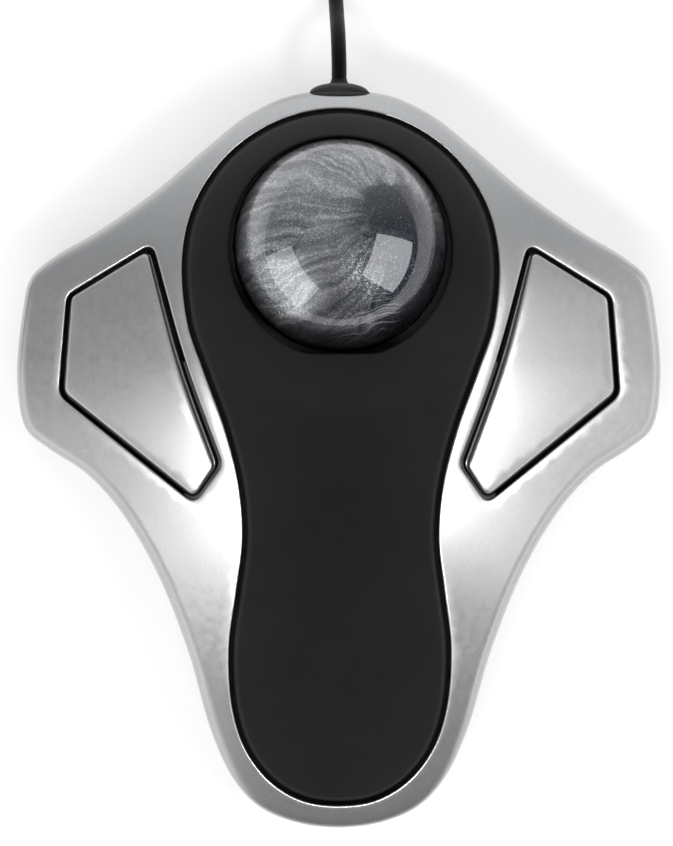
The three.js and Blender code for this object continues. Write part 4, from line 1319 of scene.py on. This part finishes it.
def case_screws():
    """Pan heads with a cross recess, seen from below in their wells."""
    for i, (x, y, _, reach) in enumerate(CASE_SCREWS, 1):
        length = reach - SCREW_HEAD_Z
        profile = [
            (0, 0), (1.5, 0), (1.95, 0.08), (2.2, 0.25), (2.3, 0.5), (2.3, 1), (1.05, 1),
            (1.05, length - 1.05), (0, length),
        ]
        place = upright(x, y, SCREW_HEAD_Z)
        head = lathe(profile, 40, place)
        turn = place @ Matrix.Rotation(0.5 * i, 4, "Z")
        cross = [block((-1.25, -0.22, -0.5), (1.25, 0.22, 0.65), turn)]
        cross.append(block((-0.22, -1.25, -0.5), (0.22, 1.25, 0.65), turn))
        mesh = carve(head.mesh("screw"), removed=cross)
        place_piece(f"screw_head_{i}", mesh, [STEEL], CASE, [f"case_screw_{i}"])


# ---- buttons


def pin_place(side):
    """The hinge pin's middle, with its length along X, outwards along Y and up along Z."""
    ends = [Vector((-side * x, y, skin(-side * x, y)[0] - PIN_DEPTH)) for x, y in PIN_ENDS]
    along = (ends[1] - ends[0]).normalized()
    outward = Vector((0, 0, side)).cross(along).normalized()
    up = side * along.cross(outward)
    place = Matrix((along, side * outward, up)).transposed().to_4x4()
    return Matrix.Translation((ends[0] + ends[1]) / 2) @ place


def pin_block(side, along, outward, up):
    """A box in the pin's own directions."""
    low, high = sorted((outward[0] * side, outward[1] * side))
    return block((along[0], low, up[0]), (along[1], high, up[1]), pin_place(side))


def pin_bore(side, half):
    turn = pin_place(side) @ Matrix.Rotation(math.pi / 2, 4, "Y")
    return lathe([(0, -half), (PIN_BORE, -half), (PIN_BORE, half), (0, half)], 24, turn)


def keycap(side, hand):
    """Silver-painted top and bevel, and sides in charcoal, which is painted shade, sloping out to the
    skirt.
    """
    corners = on_side(FACE_CORNERS, side)
    shape = Shape()
    top = [shape.ring(inset_polygon(corners, d), below(drop)) for d, drop in arc(KEY_BEVEL)][::-1]
    shape.bridges(top)
    shape.sheet([top[0]], below(0), 1.5)
    face = rounded_polygon(corners)
    opening = on_side(OPENING_CORNERS, side)
    skirt, inner = (inset_polygon(opening, SKIRT_INSET + wall) for wall in (0, SKIRT_WALL))
    sides = []
    # The silver ends at the first of these; below it the sides' charcoal is painted shade
    for share, drop in ((0.12, 0.12), (0.36, 0.3), (0.52, 0.32), (0.7, 0.7)):
        loop = face + share * (skirt - face)
        sides.append(shape.ring(loop, below(KEY_BEVEL + drop * (SKIRT_DEPTH - KEY_BEVEL))))
    shape.bridge(top[-1], sides[0])
    for loop, depth in ((skirt, SKIRT_DEPTH), (inner, SKIRT_DEPTH), (inner, KEY_THICKNESS)):
        sides.append(shape.ring(loop, below(depth)))
    shape.bridges(sides, 1)
    shape.sheet([sides[-1]], below(KEY_THICKNESS), 3, 1)
    lugs = [pin_block(side, (a - 0.8, a + 0.8), (-1.5, 1.5), (-1.5, 2.8)) for a in (-2.2, 2.2)]
    x = -side * SWITCH_X
    stem_top = skin(x, SWITCH_Y)[0] - KEY_THICKNESS / 2
    lugs.append(block((x - 1.5, SWITCH_Y - 1.5, PLUNGER_TOP + GAP), (x + 1.5, SWITCH_Y + 1.5, stem_top)))
    for lug in lugs:
        lug.marks = [1] * len(lug.marks)
    mesh = carve(shape.mesh("key"), lugs, [pin_bore(side, PIN_HALF)])
    body = f"{hand}_button"
    place_piece(f"key_{hand}", mesh, [SILVER, CHARCOAL], body, [f"button_{hand}"], 30)


def rib(side):
    """A low grey rib inside the channel, beside the lower part of the key's inner edge."""
    corners = on_side(OPENING_CORNERS, side)
    near, far = (inset_polygon(corners, d) for d in (0.05, 0.55))
    low_y, high_y, far_x = -7.6, 19.8, 30.2
    x, y = near[:, 0] * side, near[:, 1]
    numbers = np.flatnonzero((x > 0) & (x < far_x) & (y < high_y) & (y > low_y))
    breaks = np.flatnonzero(np.diff(numbers) > 1)
    if len(breaks):
        numbers = np.concatenate([numbers[breaks[0] + 1:], numbers[:breaks[0] + 1]])
    shape = Shape()
    rows = []
    for i in numbers:
        (ax, ay), (bx, by) = near[i], far[i]
        top = skin(ax, ay)[0] - 1.15
        mx, my = 0.5 * (ax + bx), 0.5 * (ay + by)
        low = top - 1.4
        section = [(ax, ay, top), (ax, ay, low), (bx, by, low), (bx, by, top - 0.2), (mx, my, top + 0.05)]
        rows.append(shape.loop(section))
    shape.solid(rows)
    return shape


def key_frame(side, hand):
    """The black channel round a key, its ledge and its hinge lugs."""
    corners = on_side(OPENING_CORNERS, side)
    outer, mouth, ledge = (inset_polygon(corners, d) for d in (-FRAME_WALL, -0.05, LEDGE_REACH))
    walls = (
        (outer, FRAME_TOP), (outer, LEDGE_BOTTOM), (ledge, LEDGE_BOTTOM), (ledge, LEDGE_TOP),
        (mouth, LEDGE_TOP), (mouth, FRAME_TOP),
    )
    shape = Shape()
    rings = [shape.ring(loop, below(depth)) for loop, depth in walls]
    shape.bridges([*rings, rings[0]])
    lugs = []
    for a in (-4.4, 4.4):
        lugs.append(pin_block(side, (a - 0.7, a + 0.7), (-1.5, 1.2), (-4.6, 1.5)))
        lugs.append(pin_block(side, (a - 0.7, a + 0.7), (-1.5, 3.2), (-4.6, -3.3)))
    mesh = carve(shape.mesh("frame"), lugs, [pin_bore(side, PIN_HALF + GAP)])
    replaced = [f"button_frame_{hand}"]
    place_piece(f"key_channel_{hand}", mesh, [BLACK], CASE, replaced)
    place_piece(f"channel_rib_{hand}", rib(side).mesh("rib"), [CHARCOAL], CASE, sharp=30)


# ---- ball and grommet


def ball():
    steps = 96
    profile = []
    for i in range(steps + 1):
        angle = math.pi * i / steps
        radius = BALL_RADIUS * math.sin(angle) if 0 < i < steps else 0
        profile.append((radius, -BALL_RADIUS * math.cos(angle)))
    mesh = lathe(profile, 160, upright(*BALL_CENTRE)).mesh("ball")
    place_piece("marbled_ball", mesh, [MARBLE], "ball", ["ball"], 80)


def collar_lip():
    """The grommet's upper half: it rises beside the wall and laps onto the rim of the roof."""
    shape = Shape()
    half_width, inward, outward, bow = 5.75, 1.15, 0.3, 0.0104
    angles = np.linspace(0, 2 * math.pi, 96, endpoint=False)
    depths = np.where(np.sin(angles) < 0, inward, outward) * np.sin(angles)
    rings = []
    for share, height in ((1, None), (1, 0.02), (0.97, 0.16), (0.9, 0.27), (0.7, 0.38), (0.35, 0.44)):
        x = half_width * share * np.cos(angles)
        rim = CASE_HALF[0][1] - bow * x**2
        y = rim + depths * share
        if height is None:
            z = np.full(len(x), CABLE_EXIT[2])
        else:
            z = skin(x, np.minimum(y, rim - 0.1)) + height
        rings.append(shape.loop(np.column_stack([x, y, z])))
    shape.solid(rings)
    return shape


def grommet():
    """A rubber dome, flanged inside the shell, with a small fillet where the cable leaves."""
    profile = [(0, 65.6), (6.5, 65.6), (6.6, 65.7), (6.6, 66.7), (6.5, 66.8), (GROMMET_RADIUS, 67.2)]
    for i in range(13):
        angle = i / 12 * 0.43 * math.pi
        profile.append((GROMMET_RADIUS * math.cos(angle), 70.6 + 1.9 * math.sin(angle)))
    profile += [(1.85, 72.47), (1.68, 72.6), (1.58, 72.85), (1.54, 73.2), (0, 73.2)]
    mesh = carve(lathe(profile, 72, along_cable()).mesh("grommet"), [collar_lip()])
    place_piece("cable_boot", mesh, [RUBBER], CASE, ["cable_grommet"])


top_shell()
center_cover()
base_shell()
label()
feet()
case_screws()
for button_side, button_hand in ((-1, "left"), (1, "right")):
    keycap(button_side, button_hand)
    key_frame(button_side, button_hand)
ball()
grommet()
room()
lights()

# ---- a last update of the scene

bpy.context.view_layer.update()
